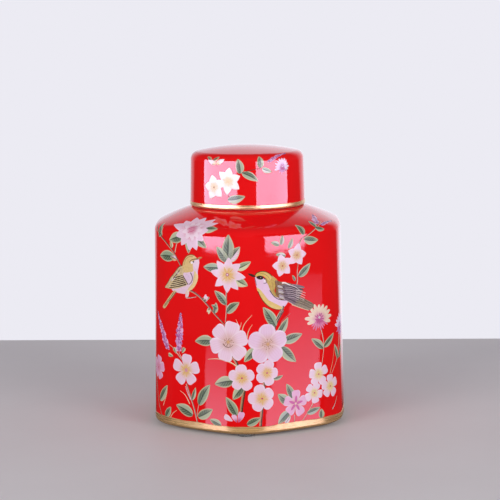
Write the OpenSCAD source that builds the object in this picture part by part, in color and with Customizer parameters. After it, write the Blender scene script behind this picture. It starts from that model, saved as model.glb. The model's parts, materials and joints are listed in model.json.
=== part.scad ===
// Ginger jar with a lift-off cap.
// The glazed body is a six-sided prism with round corners and gently bowed sides. Its shoulder is a dome that
// turns from six-sided to round, and ends in a flat seat around a round neck. A round cap drops over the neck
// and rests on the seat. Gold bands edge the cap's rim and the foot, and clear pads lift the foot.
// Units are millimetres. The origin is on the surface that the jar stands on, at the middle of the jar, with +Z
// up. One corner of the body points along -Y and two of its sides face along X.

/* [Body] */
// Width of the body across two flat sides, at the foot
foot_width = 144; // [110:1:180]
// Width of the body across two flat sides, where the shoulder starts
shoulder_width = 140; // [110:1:180]
// Height of the seat that the cap rests on, above the surface the jar stands on
seat_height = 162; // [110:1:220]
// Radius of each upright corner, as a share of half the width
corner_share = 0.52; // [0.36:0.04:0.8]
// Half of the turn that each bowed side makes, in degrees
side_bow = 6.5; // [2:0.5:12]
// Thickness of the body's wall
body_wall = 5; // [3:0.5:6]
// Thickness of the body's floor
floor_thickness = 6; // [4:0.5:10]
// Radius between floor and wall inside the body
floor_fillet = 8; // [4:0.5:14]

/* [Foot] */
// Radius of the rounding under the edge of the foot
foot_rounding = 2.5; // [1.5:0.5:4]
// Width of the rim that the body stands on, around the recess
foot_rim_width = 17; // [14:1:24]
// Depth of the recess under the floor
foot_recess_depth = 1.5; // [0.5:0.5:3]

/* [Shoulder] */
// Radius of the rounding between side and shoulder
shoulder_rounding = 7; // [6.5:0.5:14]
// Slope of the dome where that rounding ends, in degrees from level
shoulder_outer_slope = 27; // [24:1:35]
// Slope of the dome where it meets the seat, in degrees from level
shoulder_inner_slope = 18; // [6:1:20]

/* [Neck] */
// Radius of the mouth, inside the neck
mouth_radius = 33; // [20:0.5:40]
// Thickness of the neck's wall
neck_wall = 4.5; // [3:0.5:6]
// Height of the neck above the seat
neck_height = 22; // [12:1:32]
// Gap between the neck and the inside of the cap, on each side
neck_clearance = 1.6; // [0.8:0.1:3]

/* [Cap] */
// Thickness of the cap's wall
cap_wall = 4.4; // [3:0.1:5.5]
// Height of the cap, from its rim to the middle of its dome
cap_height = 45; // [36:1:60]
// How much the cap's side leans in between its rim and its top edge
cap_lean = 0.8; // [0:0.1:3]
// Radius of the rounding between the cap's side and its dome
cap_rounding = 6.5; // [6:0.5:12]
// Slope of the dome where that rounding ends, in degrees from level
cap_dome_slope = 12.5; // [6:0.5:22]
// Radius of the rounding under the edge of the cap's rim
rim_rounding = 1.2; // [0.8:0.1:2]

/* [Gold bands] */
// Thickness of the gold bands, let into the glaze
gilding_thickness = 0.4; // [0.3:0.1:0.6]
// Height of the gold band on the foot
foot_gilding_height = 6.5; // [5:0.5:12]
// Height of the gold band on the cap's rim
rim_gilding_height = 3.5; // [2.5:0.5:8]

/* [Bumper pads] */
// Diameter of each pad
pad_diameter = 12; // [8:0.5:14]
// Height of each pad
pad_height = 2; // [1.5:0.5:4]
// Radius of the rounding at the pad's lower edge
pad_rounding = 0.6; // [0.3:0.1:1]
// Number of pads, evenly spaced under the corners
pad_count = 3; // [2, 3, 6]

/* [Hidden] */
$fn = 96;

RED_GLAZE = [0.87, 0.08, 0.09];
GOLD = [0.83, 0.62, 0.38];
CLEAR_SILICONE = [0.85, 0.87, 0.88];

SIDES = 6;
SIDE_TURN = 360 / SIDES;
// Facets of the plan on each bowed side, on each half of a corner, and along each rounding of the profile
SIDE_STEPS = 4;
CORNER_STEPS = 4;
ROUNDING_STEPS = 8;
DOME_STEPS = 8;
FILLET_STEPS = 5;
// How far a cutting shape runs past the face that it cuts
CUT_PAST = 1;

foot_half = foot_width / 2;
shoulder_half = shoulder_width / 2;
seat_to_rim_edge = 2; // the cap's side stands this far outside the edge of the seat
neck_radius = mouth_radius + neck_wall;
cap_inner_radius = neck_radius + neck_clearance;
cap_radius = cap_inner_radius + cap_wall;
seat_radius = cap_radius - seat_to_rim_edge;
neck_top = seat_height + neck_height;
body_bottom = pad_height;
floor_top = body_bottom + floor_thickness;
foot_gilding_top = body_bottom + foot_gilding_height;

// The shoulder's rounding turns the profile from upright to the outer slope, and the dome takes it on to the
// inner slope. Both are arcs, so their radii and centres follow from where they start and end.
shoulder_turn = 90 - shoulder_outer_slope;
rounding_run = shoulder_rounding * (1 - cos(shoulder_turn));
rounding_rise = shoulder_rounding * sin(shoulder_turn);
dome_run = shoulder_half - rounding_run - seat_radius;
dome_radius = dome_run / (sin(shoulder_outer_slope) - sin(shoulder_inner_slope));
dome_rise = dome_radius * (cos(shoulder_inner_slope) - cos(shoulder_outer_slope));
shoulder_height = seat_height - rounding_rise - dome_rise;

// ---------------------------------------------------------------- plan

// Radius of the large arc of a bowed side, for a plan of a given half width and corner radius. The side's arc
// and the corner's arc share a tangent where the side's turn ends.
function side_radius(half, corner) =
    let (k = cos(side_bow) - sin(side_bow) / tan(180 / SIDES))
    (half - corner * k) / (1 - k);

// Distance from the axis to the centre of a corner's arc
function corner_centre(half, corner) =
    (side_radius(half, corner) - corner) * sin(side_bow) / sin(180 / SIDES);

// Point of the plan whose outward direction is turned by t degrees from the middle of side number n
function plan_point(half, corner, n, t) =
    let (
        big = side_radius(half, corner),
        reach = corner_centre(half, corner),
        half_turn = SIDE_TURN / 2,
        p = abs(t) <= side_bow
            ? [half - big + big * cos(t), big * sin(t)]
            : [reach * cos(half_turn) + corner * cos(t), sign(t) * reach * sin(half_turn) + corner * sin(t)],
        a = n * SIDE_TURN
    )
    [p.x * cos(a) - p.y * sin(a), p.x * sin(a) + p.y * cos(a)];

// Turns from the middle of a side at which the plan has points, from one corner to just before the next
PLAN_TURNS = concat(
    [for (i = [0:CORNER_STEPS - 1]) -SIDE_TURN / 2 + (SIDE_TURN / 2 - side_bow) * i / CORNER_STEPS],
    [for (i = [0:SIDE_STEPS - 1]) -side_bow + 2 * side_bow * i / SIDE_STEPS],
    [for (i = [0:CORNER_STEPS - 1]) side_bow + (SIDE_TURN / 2 - side_bow) * i / CORNER_STEPS]
);

function plan(half, corner) = [for (n = [0:SIDES - 1], t = PLAN_TURNS) plan_point(half, corner, n, t)];

// ---------------------------------------------------------------- profile of the body

// A ring of the body is [half width, corner radius, height, lean], where lean is the angle of the outward
// direction above level. Moving a ring inwards by d follows that direction.
function inset(ring, d) = [
    ring[0] - d * cos(ring[3]),
    ring[1] - d * cos(ring[3]),
    ring[2] - d * sin(ring[3]),
    ring[3]
];

// Corner radius at a half width: the body's own share at the shoulder, and a full circle at the seat
function corner_at(half) =
    let (
        s = (shoulder_half - half) / (shoulder_half - seat_radius),
        blend = s <= 0 ? 0 : s * s * (3 - 2 * s)
    )
    half * (corner_share + (1 - corner_share) * min(1, blend));

function side_half(z) =
    foot_half + (shoulder_half - foot_half) * (z - body_bottom) / (shoulder_height - body_bottom);

foot_rings = [
    for (i = [0:FILLET_STEPS])
        let (
            a = -90 + 90 * i / FILLET_STEPS,
            z = body_bottom + foot_rounding * (1 + sin(a)),
            half = side_half(z) - foot_rounding * (1 - cos(a))
        )
        [half, half * corner_share, z, a]
];

side_rings = [
    for (z = [foot_gilding_top, shoulder_height]) [side_half(z), side_half(z) * corner_share, z, 0]
];

rounding_rings = [
    for (i = [1:ROUNDING_STEPS])
        let (
            a = shoulder_turn * i / ROUNDING_STEPS,
            half = shoulder_half - shoulder_rounding * (1 - cos(a))
        )
        [half, corner_at(half), shoulder_height + shoulder_rounding * sin(a), a]
];

dome_rings = [
    for (i = [1:DOME_STEPS])
        let (
            a = shoulder_turn + (shoulder_outer_slope - shoulder_inner_slope) * i / DOME_STEPS,
            half = seat_radius + dome_radius * (cos(a) - sin(shoulder_inner_slope)),
            z = seat_height + dome_radius * (sin(a) - cos(shoulder_inner_slope))
        )
        [half, corner_at(half), z, a]
];

// Rings of the fillet between the body's floor and its wall, inside
floor_rings = [
    for (i = [0:FILLET_STEPS])
        let (
            a = -90 + 90 * i / FILLET_STEPS,
            z = floor_top + floor_fillet * (1 + sin(a)),
            inner = side_half(z) - body_wall - floor_fillet * (1 - cos(a)),
            corner = side_half(z) * corner_share - body_wall - floor_fillet * (1 - cos(a))
        )
        [inner, corner, z, a]
];

// ---------------------------------------------------------------- shapes made of rings

// Triangles between two neighbouring rings of count points, the first ring starting at point number start
function band_faces(start, count) = [
    for (i = [0:count - 1], upper = [false, true])
        let (j = (i + 1) % count)
        upper
            ? [start + j, start + i, start + count + i]
            : [start + j, start + count + i, start + count + j]
];

// A closed solid through rings of the plan, from the lowest to the highest
module ring_solid(rings) {
    count = SIDES * len(PLAN_TURNS);
    points = [for (r = rings, p = plan(r[0], r[1])) [p.x, p.y, r[2]]];
    top_start = count * (len(rings) - 1);
    faces = concat(
        [for (k = [0:len(rings) - 2], f = band_faces(k * count, count)) f],
        [[for (i = [0:count - 1]) i]],
        [[for (i = [count - 1:-1:0]) top_start + i]]
    );
    polyhedron(points = points, faces = faces, convexity = 4);
}

// A closed loop of rings, such as a band: the last ring joins back to the first
module ring_loop(rings) {
    count = SIDES * len(PLAN_TURNS);
    total = count * len(rings);
    points = [for (r = rings, p = plan(r[0], r[1])) [p.x, p.y, r[2]]];
    faces = [for (k = [0:len(rings) - 1], f = band_faces(k * count, count)) [for (v = f) v % total]];
    polyhedron(points = points, faces = faces, convexity = 6);
}

// ---------------------------------------------------------------- sub-parts

// Rings that the foot's gold band covers, and the same rings under the gold
gilded_rings = concat(foot_rings, [side_rings[0]]);
under_gilding_rings = [for (r = gilded_rings) inset(r, gilding_thickness)];

module body_outside() {
    ring_solid(concat([gilded_rings[0]], under_gilding_rings, side_rings, rounding_rings, dome_rings));
}

module body_inside() {
    wall_rings = [for (r = concat([side_rings[1]], rounding_rings, dome_rings)) inset(r, body_wall)];
    ring_solid(concat(floor_rings, wall_rings));
}

module neck() {
    lip = neck_wall / 3;
    embed = body_wall / 2;
    lip_turns = [for (i = [0:6]) 90 * i / 6];
    outer_lip = [for (a = lip_turns) [neck_radius - lip + lip * cos(a), neck_top - lip + lip * sin(a)]];
    inner_lip = [for (a = lip_turns) [mouth_radius + lip - lip * sin(a), neck_top - lip + lip * cos(a)]];
    foot = [[mouth_radius, seat_height - embed], [neck_radius, seat_height - embed]];
    rotate_extrude() polygon(concat(foot, outer_lip, inner_lip));
}

module foot_recess() {
    half = foot_half - foot_rim_width;
    translate([0, 0, body_bottom - CUT_PAST])
        linear_extrude(foot_recess_depth + CUT_PAST)
            polygon(plan(half, foot_half * corner_share - foot_rim_width));
}

module jar_body() {
    color(RED_GLAZE)
        difference() {
            union() {
                body_outside();
                neck();
            }
            body_inside();
            translate([0, 0, seat_height - body_wall - CUT_PAST])
                cylinder(r = mouth_radius, h = neck_height + body_wall + 2 * CUT_PAST);
            foot_recess();
        }
}

module foot_gilding() {
    outer = [for (i = [len(gilded_rings) - 1:-1:0]) gilded_rings[i]];
    color(GOLD) ring_loop(concat(under_gilding_rings, outer));
}

// Points of the cap's rim, d under its finished surface, from below to the top of the gold band
function rim_points(d) = concat(
    [for (i = [0:6])
        let (a = -90 + 90 * i / 6, r = rim_rounding - d)
        [cap_radius - rim_rounding + r * cos(a), seat_height + rim_rounding + r * sin(a)]],
    [[cap_side(rim_gilding_height) - d, seat_height + rim_gilding_height]]
);

// Radius of the cap's side at a height above its rim
function cap_side(z) = cap_radius - cap_lean * (z - rim_rounding) / (cap_height - rim_rounding);

// The cap's dome is an arc centred on the axis, and its rounding's arc runs into it without a kink.
cap_edge_radius = cap_radius - cap_lean;
cap_dome_radius =
    (cap_edge_radius - cap_rounding + cap_rounding * sin(cap_dome_slope)) / sin(cap_dome_slope);
cap_top = seat_height + cap_height;
cap_rounding_height = cap_top - cap_dome_radius + (cap_dome_radius - cap_rounding) * cos(cap_dome_slope);

// Points of the cap's rounding and dome, d under the finished surface, from the side to the middle
function cap_top_points(d) = concat(
    [for (i = [0:10])
        let (a = (90 - cap_dome_slope) * i / 10, r = cap_rounding - d)
        [cap_edge_radius - cap_rounding + r * cos(a), cap_rounding_height + r * sin(a)]],
    [for (i = [1:10])
        let (a = 90 - cap_dome_slope + cap_dome_slope * i / 10, r = cap_dome_radius - d)
        [i == 10 ? 0 : r * cos(a), cap_top - cap_dome_radius + r * sin(a)]]
);

module cap() {
    inner_top = cap_top_points(cap_wall);
    outside = concat(
        [[cap_radius - rim_rounding, seat_height]],
        rim_points(gilding_thickness),
        [[cap_side(rim_gilding_height), seat_height + rim_gilding_height]],
        cap_top_points(0)
    );
    inside = concat([for (i = [len(inner_top) - 1:-1:0]) inner_top[i]], [[cap_inner_radius, seat_height]]);
    color(RED_GLAZE) rotate_extrude() polygon(concat(outside, inside));
}

module cap_rim_gilding() {
    under = rim_points(gilding_thickness);
    outer = rim_points(0);
    color(GOLD)
        rotate_extrude() polygon(concat(outer, [for (i = [len(under) - 1:-1:0]) under[i]]));
}

// Distance from the axis to the middle of a pad, so that the pad reaches the edge of the flat under a corner
pad_reach =
    corner_centre(foot_half, foot_half * corner_share) + foot_half * corner_share
    - foot_rounding - pad_diameter / 2;

module bumper_pad(n) {
    r = pad_diameter / 2;
    edge = [
        for (i = [0:5])
            let (a = -90 + 90 * i / 5)
            [r - pad_rounding + pad_rounding * cos(a), pad_rounding * (1 + sin(a))]
    ];
    color(CLEAR_SILICONE)
        rotate(-90 + (n - 1) * 360 / pad_count)
            translate([pad_reach, 0, 0])
                rotate_extrude() polygon(concat([[0, 0]], edge, [[r, pad_height], [0, pad_height]]));
}

jar_body();
foot_gilding();
cap();
cap_rim_gilding();
for (n = [1:pad_count]) {
    bumper_pad(n);
}
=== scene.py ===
# %% [markdown]
# # A ginger jar in red glaze, with flowers and birds in enamel
# The real object is a six-sided porcelain jar with a loose round cap. It is cast, glazed red, fired,
# decorated with printed and painted enamels, gilded along the foot and the rim, and fired again.
# Every visible piece here is a surface worked out with numpy from a few sizes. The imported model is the
# frame: it fixes where each piece is and how the cap moves, and the pieces below stand for its solids.

# %% Load the frame
import json
import bpy
import numpy as np
from mathutils import Matrix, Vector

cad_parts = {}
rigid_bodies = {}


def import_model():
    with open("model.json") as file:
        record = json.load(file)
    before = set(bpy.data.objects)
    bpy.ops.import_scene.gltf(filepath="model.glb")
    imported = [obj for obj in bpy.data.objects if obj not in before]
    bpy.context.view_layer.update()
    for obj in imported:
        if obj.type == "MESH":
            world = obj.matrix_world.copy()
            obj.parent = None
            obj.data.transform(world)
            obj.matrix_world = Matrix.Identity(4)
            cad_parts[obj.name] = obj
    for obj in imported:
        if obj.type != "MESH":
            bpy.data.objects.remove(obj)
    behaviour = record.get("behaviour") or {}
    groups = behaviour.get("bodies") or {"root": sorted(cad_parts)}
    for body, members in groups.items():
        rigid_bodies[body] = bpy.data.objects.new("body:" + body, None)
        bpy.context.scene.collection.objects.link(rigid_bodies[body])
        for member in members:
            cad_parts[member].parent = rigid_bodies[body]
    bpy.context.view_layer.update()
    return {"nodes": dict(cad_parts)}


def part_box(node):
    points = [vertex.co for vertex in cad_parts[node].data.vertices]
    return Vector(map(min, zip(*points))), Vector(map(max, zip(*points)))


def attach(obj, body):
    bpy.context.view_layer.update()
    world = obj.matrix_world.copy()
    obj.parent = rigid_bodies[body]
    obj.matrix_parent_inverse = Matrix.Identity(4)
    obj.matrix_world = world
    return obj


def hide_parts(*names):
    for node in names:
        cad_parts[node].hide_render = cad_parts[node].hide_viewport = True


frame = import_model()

MM = 0.001
rng = np.random.default_rng(11)

# %% [markdown]
# ## The body's shape
# The plan is a hexagon with bowed sides and round corners. It could be a bevelled prism, but then the
# shoulder could not turn smoothly from six sides to a circle. Here each ring of the body is a half
# width, a corner radius and a height, so the shape is one function of two numbers: how far round, and
# how far up the profile. The same function later carries the painted enamel, so paint follows the skin.

# %% Sizes of the body, in millimetres
FOOT_HALF = 72.0
SHOULDER_HALF = 70.0
SEAT_HEIGHT = 162.0
CORNER_SHARE = 0.52
BOW = np.radians(6.5)
SIXTH = np.pi / 3
BODY_WALL = 5.0
FLOOR_TOP = 8.0
FLOOR_FILLET = 8.0
FOOT_LEVEL = 2.0
FOOT_ROUNDING = 2.5
FOOT_RIM = 17.0
RECESS_LEVEL = 3.5
SHOULDER_ROUNDING = 7.0
OUTER_SLOPE = np.radians(27)
INNER_SLOPE = np.radians(18)
SEAT_RADIUS = 41.5
NECK_RADIUS = 37.5
MOUTH_RADIUS = 33.0
NECK_TOP = 184.0
LIP = 1.5
PAINT_ROOM = 0.25
print(f"the body is {NECK_TOP - FOOT_LEVEL:.0f} mm from foot to lip")

# %% The plan of the body
def side_radius(half, corner):
    """Radius of a side's long arc, which meets the corner arcs at the bow's angle."""
    spread = np.cos(BOW) - np.sin(BOW) / np.tan(SIXTH / 2)
    return (half - corner * spread) / (1 - spread)


def plan_at(half, corner, share):
    """A share from 0 to 1 runs once round, from the middle of the front corner. Each sixth is half a
    corner arc, the long arc of a side, and half a corner arc. Returns x, y and the outward angle."""
    big = side_radius(half, corner)
    reach = (big - corner) * np.sin(BOW) / np.sin(SIXTH / 2)
    corner_run = corner * (SIXTH / 2 - BOW)
    side_run = big * 2 * BOW
    side = np.floor(share * 6)
    run = (share * 6 - side) * (2 * corner_run + side_run)
    turn = np.where(
        run < corner_run,
        -SIXTH / 2 + run / corner,
        np.where(run < corner_run + side_run, -BOW + (run - corner_run) / big,
                 BOW + (run - corner_run - side_run) / corner))
    on_side = np.abs(turn) <= BOW
    x = np.where(on_side, half - big + big * np.cos(turn),
                 reach * np.cos(SIXTH / 2) + corner * np.cos(turn))
    y = np.where(on_side, big * np.sin(turn),
                 np.sign(turn) * reach * np.sin(SIXTH / 2) + corner * np.sin(turn))
    middle = -SIXTH + SIXTH * side
    return (x * np.cos(middle) - y * np.sin(middle), x * np.sin(middle) + y * np.cos(middle), middle + turn)


def girth_of(half, corner):
    """Length once round a ring: six corner arcs and six side arcs."""
    return 6 * (corner * (SIXTH - 2 * BOW) + side_radius(half, corner) * 2 * BOW)


GIRTH = float(girth_of(71.0, 71.0 * CORNER_SHARE))
print(f"the body measures {GIRTH:.0f} mm round")

# %% The profile of the body, from the foot to the seat
shoulder_turn = np.pi / 2 - OUTER_SLOPE
dome_run = SHOULDER_HALF - SHOULDER_ROUNDING * (1 - np.cos(shoulder_turn)) - SEAT_RADIUS
dome_radius = dome_run / (np.sin(OUTER_SLOPE) - np.sin(INNER_SLOPE))
dome_rise = dome_radius * (np.cos(INNER_SLOPE) - np.cos(OUTER_SLOPE))
SHOULDER_HEIGHT = SEAT_HEIGHT - SHOULDER_ROUNDING * np.sin(shoulder_turn) - dome_rise


def side_half(z):
    """Half width of the side at a height: a straight taper from the foot to the shoulder."""
    return FOOT_HALF + (SHOULDER_HALF - FOOT_HALF) * (z - FOOT_LEVEL) / (SHOULDER_HEIGHT - FOOT_LEVEL)


def corner_at(half):
    """Corner radius of a ring: a fixed share of its half width below the shoulder, all of it at the seat."""
    s = np.clip((SHOULDER_HALF - half) / (SHOULDER_HALF - SEAT_RADIUS), 0, 1)
    return half * (CORNER_SHARE + (1 - CORNER_SHARE) * s * s * (3 - 2 * s))


def body_profile():
    """Rings of half width, corner radius, height and lean: the foot's arc, the taper, the shoulder's
    small arc, and the large arc of the shoulder's dome."""
    foot = np.linspace(-np.pi / 2, 0, 9)
    foot_z = FOOT_LEVEL + FOOT_ROUNDING * (1 + np.sin(foot))
    foot_half = side_half(foot_z) - FOOT_ROUNDING * (1 - np.cos(foot))
    side_z = np.linspace(foot_z[-1], SHOULDER_HEIGHT, 72)[1:]
    edge = np.linspace(0, shoulder_turn, 25)[1:]
    edge_half = SHOULDER_HALF - SHOULDER_ROUNDING * (1 - np.cos(edge))
    dome = np.linspace(shoulder_turn, np.pi / 2 - INNER_SLOPE, 33)[1:]
    dome_half = SEAT_RADIUS + dome_radius * (np.cos(dome) - np.sin(INNER_SLOPE))
    dome_z = SEAT_HEIGHT + dome_radius * (np.sin(dome) - np.cos(INNER_SLOPE))
    half = np.concatenate([foot_half, side_half(side_z), edge_half, dome_half])
    z = np.concatenate([foot_z, side_z, SHOULDER_HEIGHT + SHOULDER_ROUNDING * np.sin(edge), dome_z])
    lean = np.concatenate([foot, np.zeros(len(side_z)), edge, dome])
    corner = np.where(z <= SHOULDER_HEIGHT + 1e-6, half * CORNER_SHARE, corner_at(half))
    return np.stack([half, corner, z, lean], 1)


BODY_RINGS = body_profile()
steps = np.hypot(np.diff(BODY_RINGS[:, 0]), np.diff(BODY_RINGS[:, 2]))
BODY_CLIMB = np.concatenate([[0], np.cumsum(steps)])
BODY_CLIMB += 40 - np.interp(40, BODY_RINGS[:, 2], BODY_CLIMB)
print(f"profile of {len(BODY_RINGS)} rings, climb {BODY_CLIMB[0]:.1f} to {BODY_CLIMB[-1]:.1f} mm")

# %% A point of the body's skin
def body_skin(girth, climb, lift):
    """The point that is girth mm round from the front corner and climb mm up the profile (on the side,
    climb is the height), raised by lift mm from the glaze along the outward direction."""
    half = np.interp(climb, BODY_CLIMB, BODY_RINGS[:, 0])
    corner = np.interp(climb, BODY_CLIMB, BODY_RINGS[:, 1])
    height = np.interp(climb, BODY_CLIMB, BODY_RINGS[:, 2])
    lean = np.interp(climb, BODY_CLIMB, BODY_RINGS[:, 3])
    x, y, out = plan_at(half, corner, (girth / GIRTH) % 1.0)
    rise = lift - PAINT_ROOM
    level = rise * np.cos(lean)
    up = height + rise * np.sin(lean)
    return np.stack([x + level * np.cos(out), y + level * np.sin(out), up], -1) * MM


def body_stretch(climb):
    """How much a painted millimetre grows in girth where the shoulder draws in."""
    half = np.interp(climb, BODY_CLIMB, BODY_RINGS[:, 0])
    corner = np.interp(climb, BODY_CLIMB, BODY_RINGS[:, 1])
    return GIRTH / girth_of(half, corner)

# %% [markdown]
# ## The cap's shape
# The cap is turned: an almost upright side, a small rounding and a shallow dome, all round the axis.
# A lathe (Spin) would do it too. The same two-number skin is used, so the cap can be painted as well.

# %% Sizes of the cap, in millimetres
CAP_RADIUS = 43.5
CAP_HEIGHT = 45.0
CAP_LEAN = 0.8
CAP_WALL = 4.4
CAP_INNER = 39.1
CAP_ROUNDING = 6.5
DOME_SLOPE = np.radians(12.5)
RIM_ROUNDING = 1.2
cap_edge = CAP_RADIUS - CAP_LEAN
CAP_DOME = (cap_edge - CAP_ROUNDING + CAP_ROUNDING * np.sin(DOME_SLOPE)) / np.sin(DOME_SLOPE)
CAP_TOP = SEAT_HEIGHT + CAP_HEIGHT
rounding_level = CAP_TOP - CAP_DOME + (CAP_DOME - CAP_ROUNDING) * np.cos(DOME_SLOPE)
print(f"the cap's dome has a radius of {CAP_DOME:.0f} mm")

# %% The profile of the cap
def cap_profile():
    """Rings of radius, height and lean: the rim's arc, the side, the rounding and the dome's arc."""
    rim = np.linspace(-np.pi / 2, 0, 7)
    side = np.linspace(0, 1, 40)[1:]
    edge = np.linspace(0, np.pi / 2 - DOME_SLOPE, 25)[1:]
    dome = np.linspace(np.pi / 2 - DOME_SLOPE, np.pi / 2 - 0.001, 40)[1:]
    side_foot = SEAT_HEIGHT + RIM_ROUNDING
    radius = np.concatenate([
        CAP_RADIUS - RIM_ROUNDING + RIM_ROUNDING * np.cos(rim), CAP_RADIUS - CAP_LEAN * side,
        cap_edge - CAP_ROUNDING + CAP_ROUNDING * np.cos(edge), CAP_DOME * np.cos(dome)])
    height = np.concatenate([
        side_foot + RIM_ROUNDING * np.sin(rim), side_foot + (rounding_level - side_foot) * side,
        rounding_level + CAP_ROUNDING * np.sin(edge), CAP_TOP - CAP_DOME + CAP_DOME * np.sin(dome)])
    lean = np.concatenate([rim, np.full(len(side), np.arctan(CAP_LEAN / CAP_HEIGHT)), edge, dome])
    return np.stack([radius, height, lean], 1)


CAP_RINGS = cap_profile()
steps = np.hypot(np.diff(CAP_RINGS[:, 0]), np.diff(CAP_RINGS[:, 1]))
CAP_CLIMB = np.concatenate([[0], np.cumsum(steps)])
CAP_TURN_RADIUS = 43.0
CAP_GIRTH = CAP_TURN_RADIUS * 2 * np.pi
print(f"cap of {len(CAP_RINGS)} rings, climb to {CAP_CLIMB[-1]:.1f} mm")

# %% A point of the cap's skin
def cap_skin(girth, climb, lift):
    """The same for the cap: girth is measured along a circle of 43 mm radius, from the front."""
    radius = np.interp(climb, CAP_CLIMB, CAP_RINGS[:, 0])
    height = np.interp(climb, CAP_CLIMB, CAP_RINGS[:, 1])
    lean = np.interp(climb, CAP_CLIMB, CAP_RINGS[:, 2])
    out = -np.pi / 2 + girth / CAP_TURN_RADIUS
    rise = lift - PAINT_ROOM
    level = radius + rise * np.cos(lean)
    return np.stack([level * np.cos(out), level * np.sin(out), height + rise * np.sin(lean)], -1) * MM


def cap_stretch(climb):
    """How much a painted millimetre grows in girth where the dome draws in."""
    return CAP_TURN_RADIUS / np.maximum(np.interp(climb, CAP_CLIMB, CAP_RINGS[:, 0]), 12.0)

# %% [markdown]
# ## From numbers to meshes
# A surface is a grid of points. The faces between its rows and columns are found by counting, as whole
# arrays. A grid that goes all the way round joins its last column to its first, and a pole is one point.

# %% Grid faces and the mesh that holds them
def grid_faces(rows, cols, around=False, first=0):
    """Four-sided faces between neighbouring rows and columns, the last column joined to the first if
    the grid goes all the way round."""
    r = np.arange(rows - 1)[:, None]
    c = np.arange(cols if around else cols - 1)[None, :]
    d = (c + 1) % cols
    quads = np.stack([r * cols + c, r * cols + d, (r + 1) * cols + d, (r + 1) * cols + c], -1)
    return quads.reshape(-1, 4) + first


def make_piece(name, points, quads, triangles=None, body="jar", sharp=40):
    """Puts points and faces into a mesh object at the origin, smooth-shaded except across sharp edges."""
    faces = quads.tolist() + ([] if triangles is None else triangles.tolist())
    mesh = bpy.data.meshes.new(name)
    mesh.from_pydata(points.reshape(-1, 3).tolist(), [], faces)
    mesh.shade_smooth()
    if sharp:
        mesh.set_sharp_from_angle(angle=np.radians(sharp))
    piece = bpy.data.objects.new(name, mesh)
    bpy.context.scene.collection.objects.link(piece)
    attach(piece, body)
    return piece

# %% A closed shell of rings
def closed_shell(name, rings, body, sharp=40):
    """A solid of revolution-like rings (rows, columns, xyz) whose first and last rows shrink to poles."""
    rows, cols = rings.shape[:2]
    poles = np.stack([rings[0].mean(0), rings[-1].mean(0)])
    points = np.concatenate([rings.reshape(-1, 3), poles])
    turn = np.arange(cols)
    ahead = (turn + 1) % cols
    last = (rows - 1) * cols
    low = np.stack([ahead, turn, np.full(cols, rows * cols)], 1)
    high = np.stack([last + turn, last + ahead, np.full(cols, rows * cols + 1)], 1)
    ends = np.concatenate([low, high])
    return make_piece(name, points, grid_faces(rows, cols, True), ends, body, sharp)

# %% [markdown]
# ## Colour and nodes
# Colours are written as sRGB values and turned to linear light by one function.
# One small function adds any node, sets it and links it.

# %% Colour, and one function that adds a node
def linear(code):
    """Turns an sRGB hex colour into linear red, green, blue and alpha."""
    s = np.array([int(code[i:i + 2], 16) for i in (1, 3, 5)]) / 255
    c = np.where(s <= 0.04045, s / 12.92, ((s + 0.055) / 1.055) ** 2.4)
    return (float(c[0]), float(c[1]), float(c[2]), 1.0)


def add(tree, kind, inputs=None, **settings):
    """Adds a shader node of that kind, sets its settings, and gives each input a value, a colour code, a
    socket, or the first output of another node. A Mix node here always mixes colours."""
    node = tree.nodes.new("ShaderNode" + kind)
    if kind == "Mix":
        node.data_type = "RGBA"
    for key, value in settings.items():
        setattr(node, key, value)
    for key, value in (inputs or {}).items():
        if isinstance(value, bpy.types.Node):
            value = next(out for out in value.outputs if out.enabled)
        if isinstance(value, bpy.types.NodeSocket):
            tree.links.new(value, node.inputs[key])
        else:
            node.inputs[key].default_value = linear(value) if isinstance(value, str) else value
    return node


def new_material(name):
    """An empty node material and its tree."""
    material = bpy.data.materials.new(name)
    material.use_nodes = True
    material.node_tree.nodes.clear()
    return material, material.node_tree

# %% A wash of colour, and the end of a material
def wash(tree, under, place, colour, start, end, low, high, **settings):
    """Lays a colour over another. Its strength goes from low to high as place goes from start to end."""
    strength = add(tree, "MapRange", {0: place, 1: start, 2: end, 3: low, 4: high}, **settings)
    return add(tree, "Mix", {0: strength, 6: under, 7: colour})


def finish_material(tree, height=None, depth=0.0, strength=1.0, **shader):
    """Closes a material: a bump of that height, depth metres deep, under a Principled shader."""
    inputs = {key.replace("_", " "): value for key, value in shader.items()}
    if height is not None:
        inputs["Normal"] = add(tree, "Bump", {"Strength": strength, "Distance": depth, "Height": height})
    bsdf = add(tree, "BsdfPrincipled", inputs)
    add(tree, "OutputMaterial", {"Surface": bsdf})

# %% [markdown]
# ## Red glaze
# A lead-free red glaze is a layer of coloured glass. It is glossy and clear on top, so it mirrors lamps
# sharply, but it pooled and rippled a little as it ran, which tears the edges of the mirrored lamps.
# The colour drifts slightly over centimetres. A fine ripple in the bump gives the torn edges.

# %% Red glaze
red_glaze, tree = new_material("red_glaze")
place = add(tree, "TexCoord").outputs["Object"]
clouds = add(tree, "TexNoise", {"Vector": place, "Scale": 28.0, "Detail": 3.0, "Roughness": 0.5})
shade = add(tree, "Mix", {0: clouds, 6: "#E01013", 7: "#EB1518"})
slow = add(tree, "TexNoise", {"Vector": place, "Scale": 110.0, "Detail": 2.0, "Roughness": 0.5})
fine = add(tree, "TexNoise", {"Vector": place, "Scale": 520.0, "Detail": 3.0, "Roughness": 0.6})
ripple = add(tree, "Math", {0: fine, 1: 0.3, 2: slow}, operation="MULTIPLY_ADD")
finish_material(tree, ripple, 0.00003, Base_Color=shade, Roughness=0.04, IOR=1.52)
print("red glaze of", len(tree.nodes), "nodes")

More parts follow.
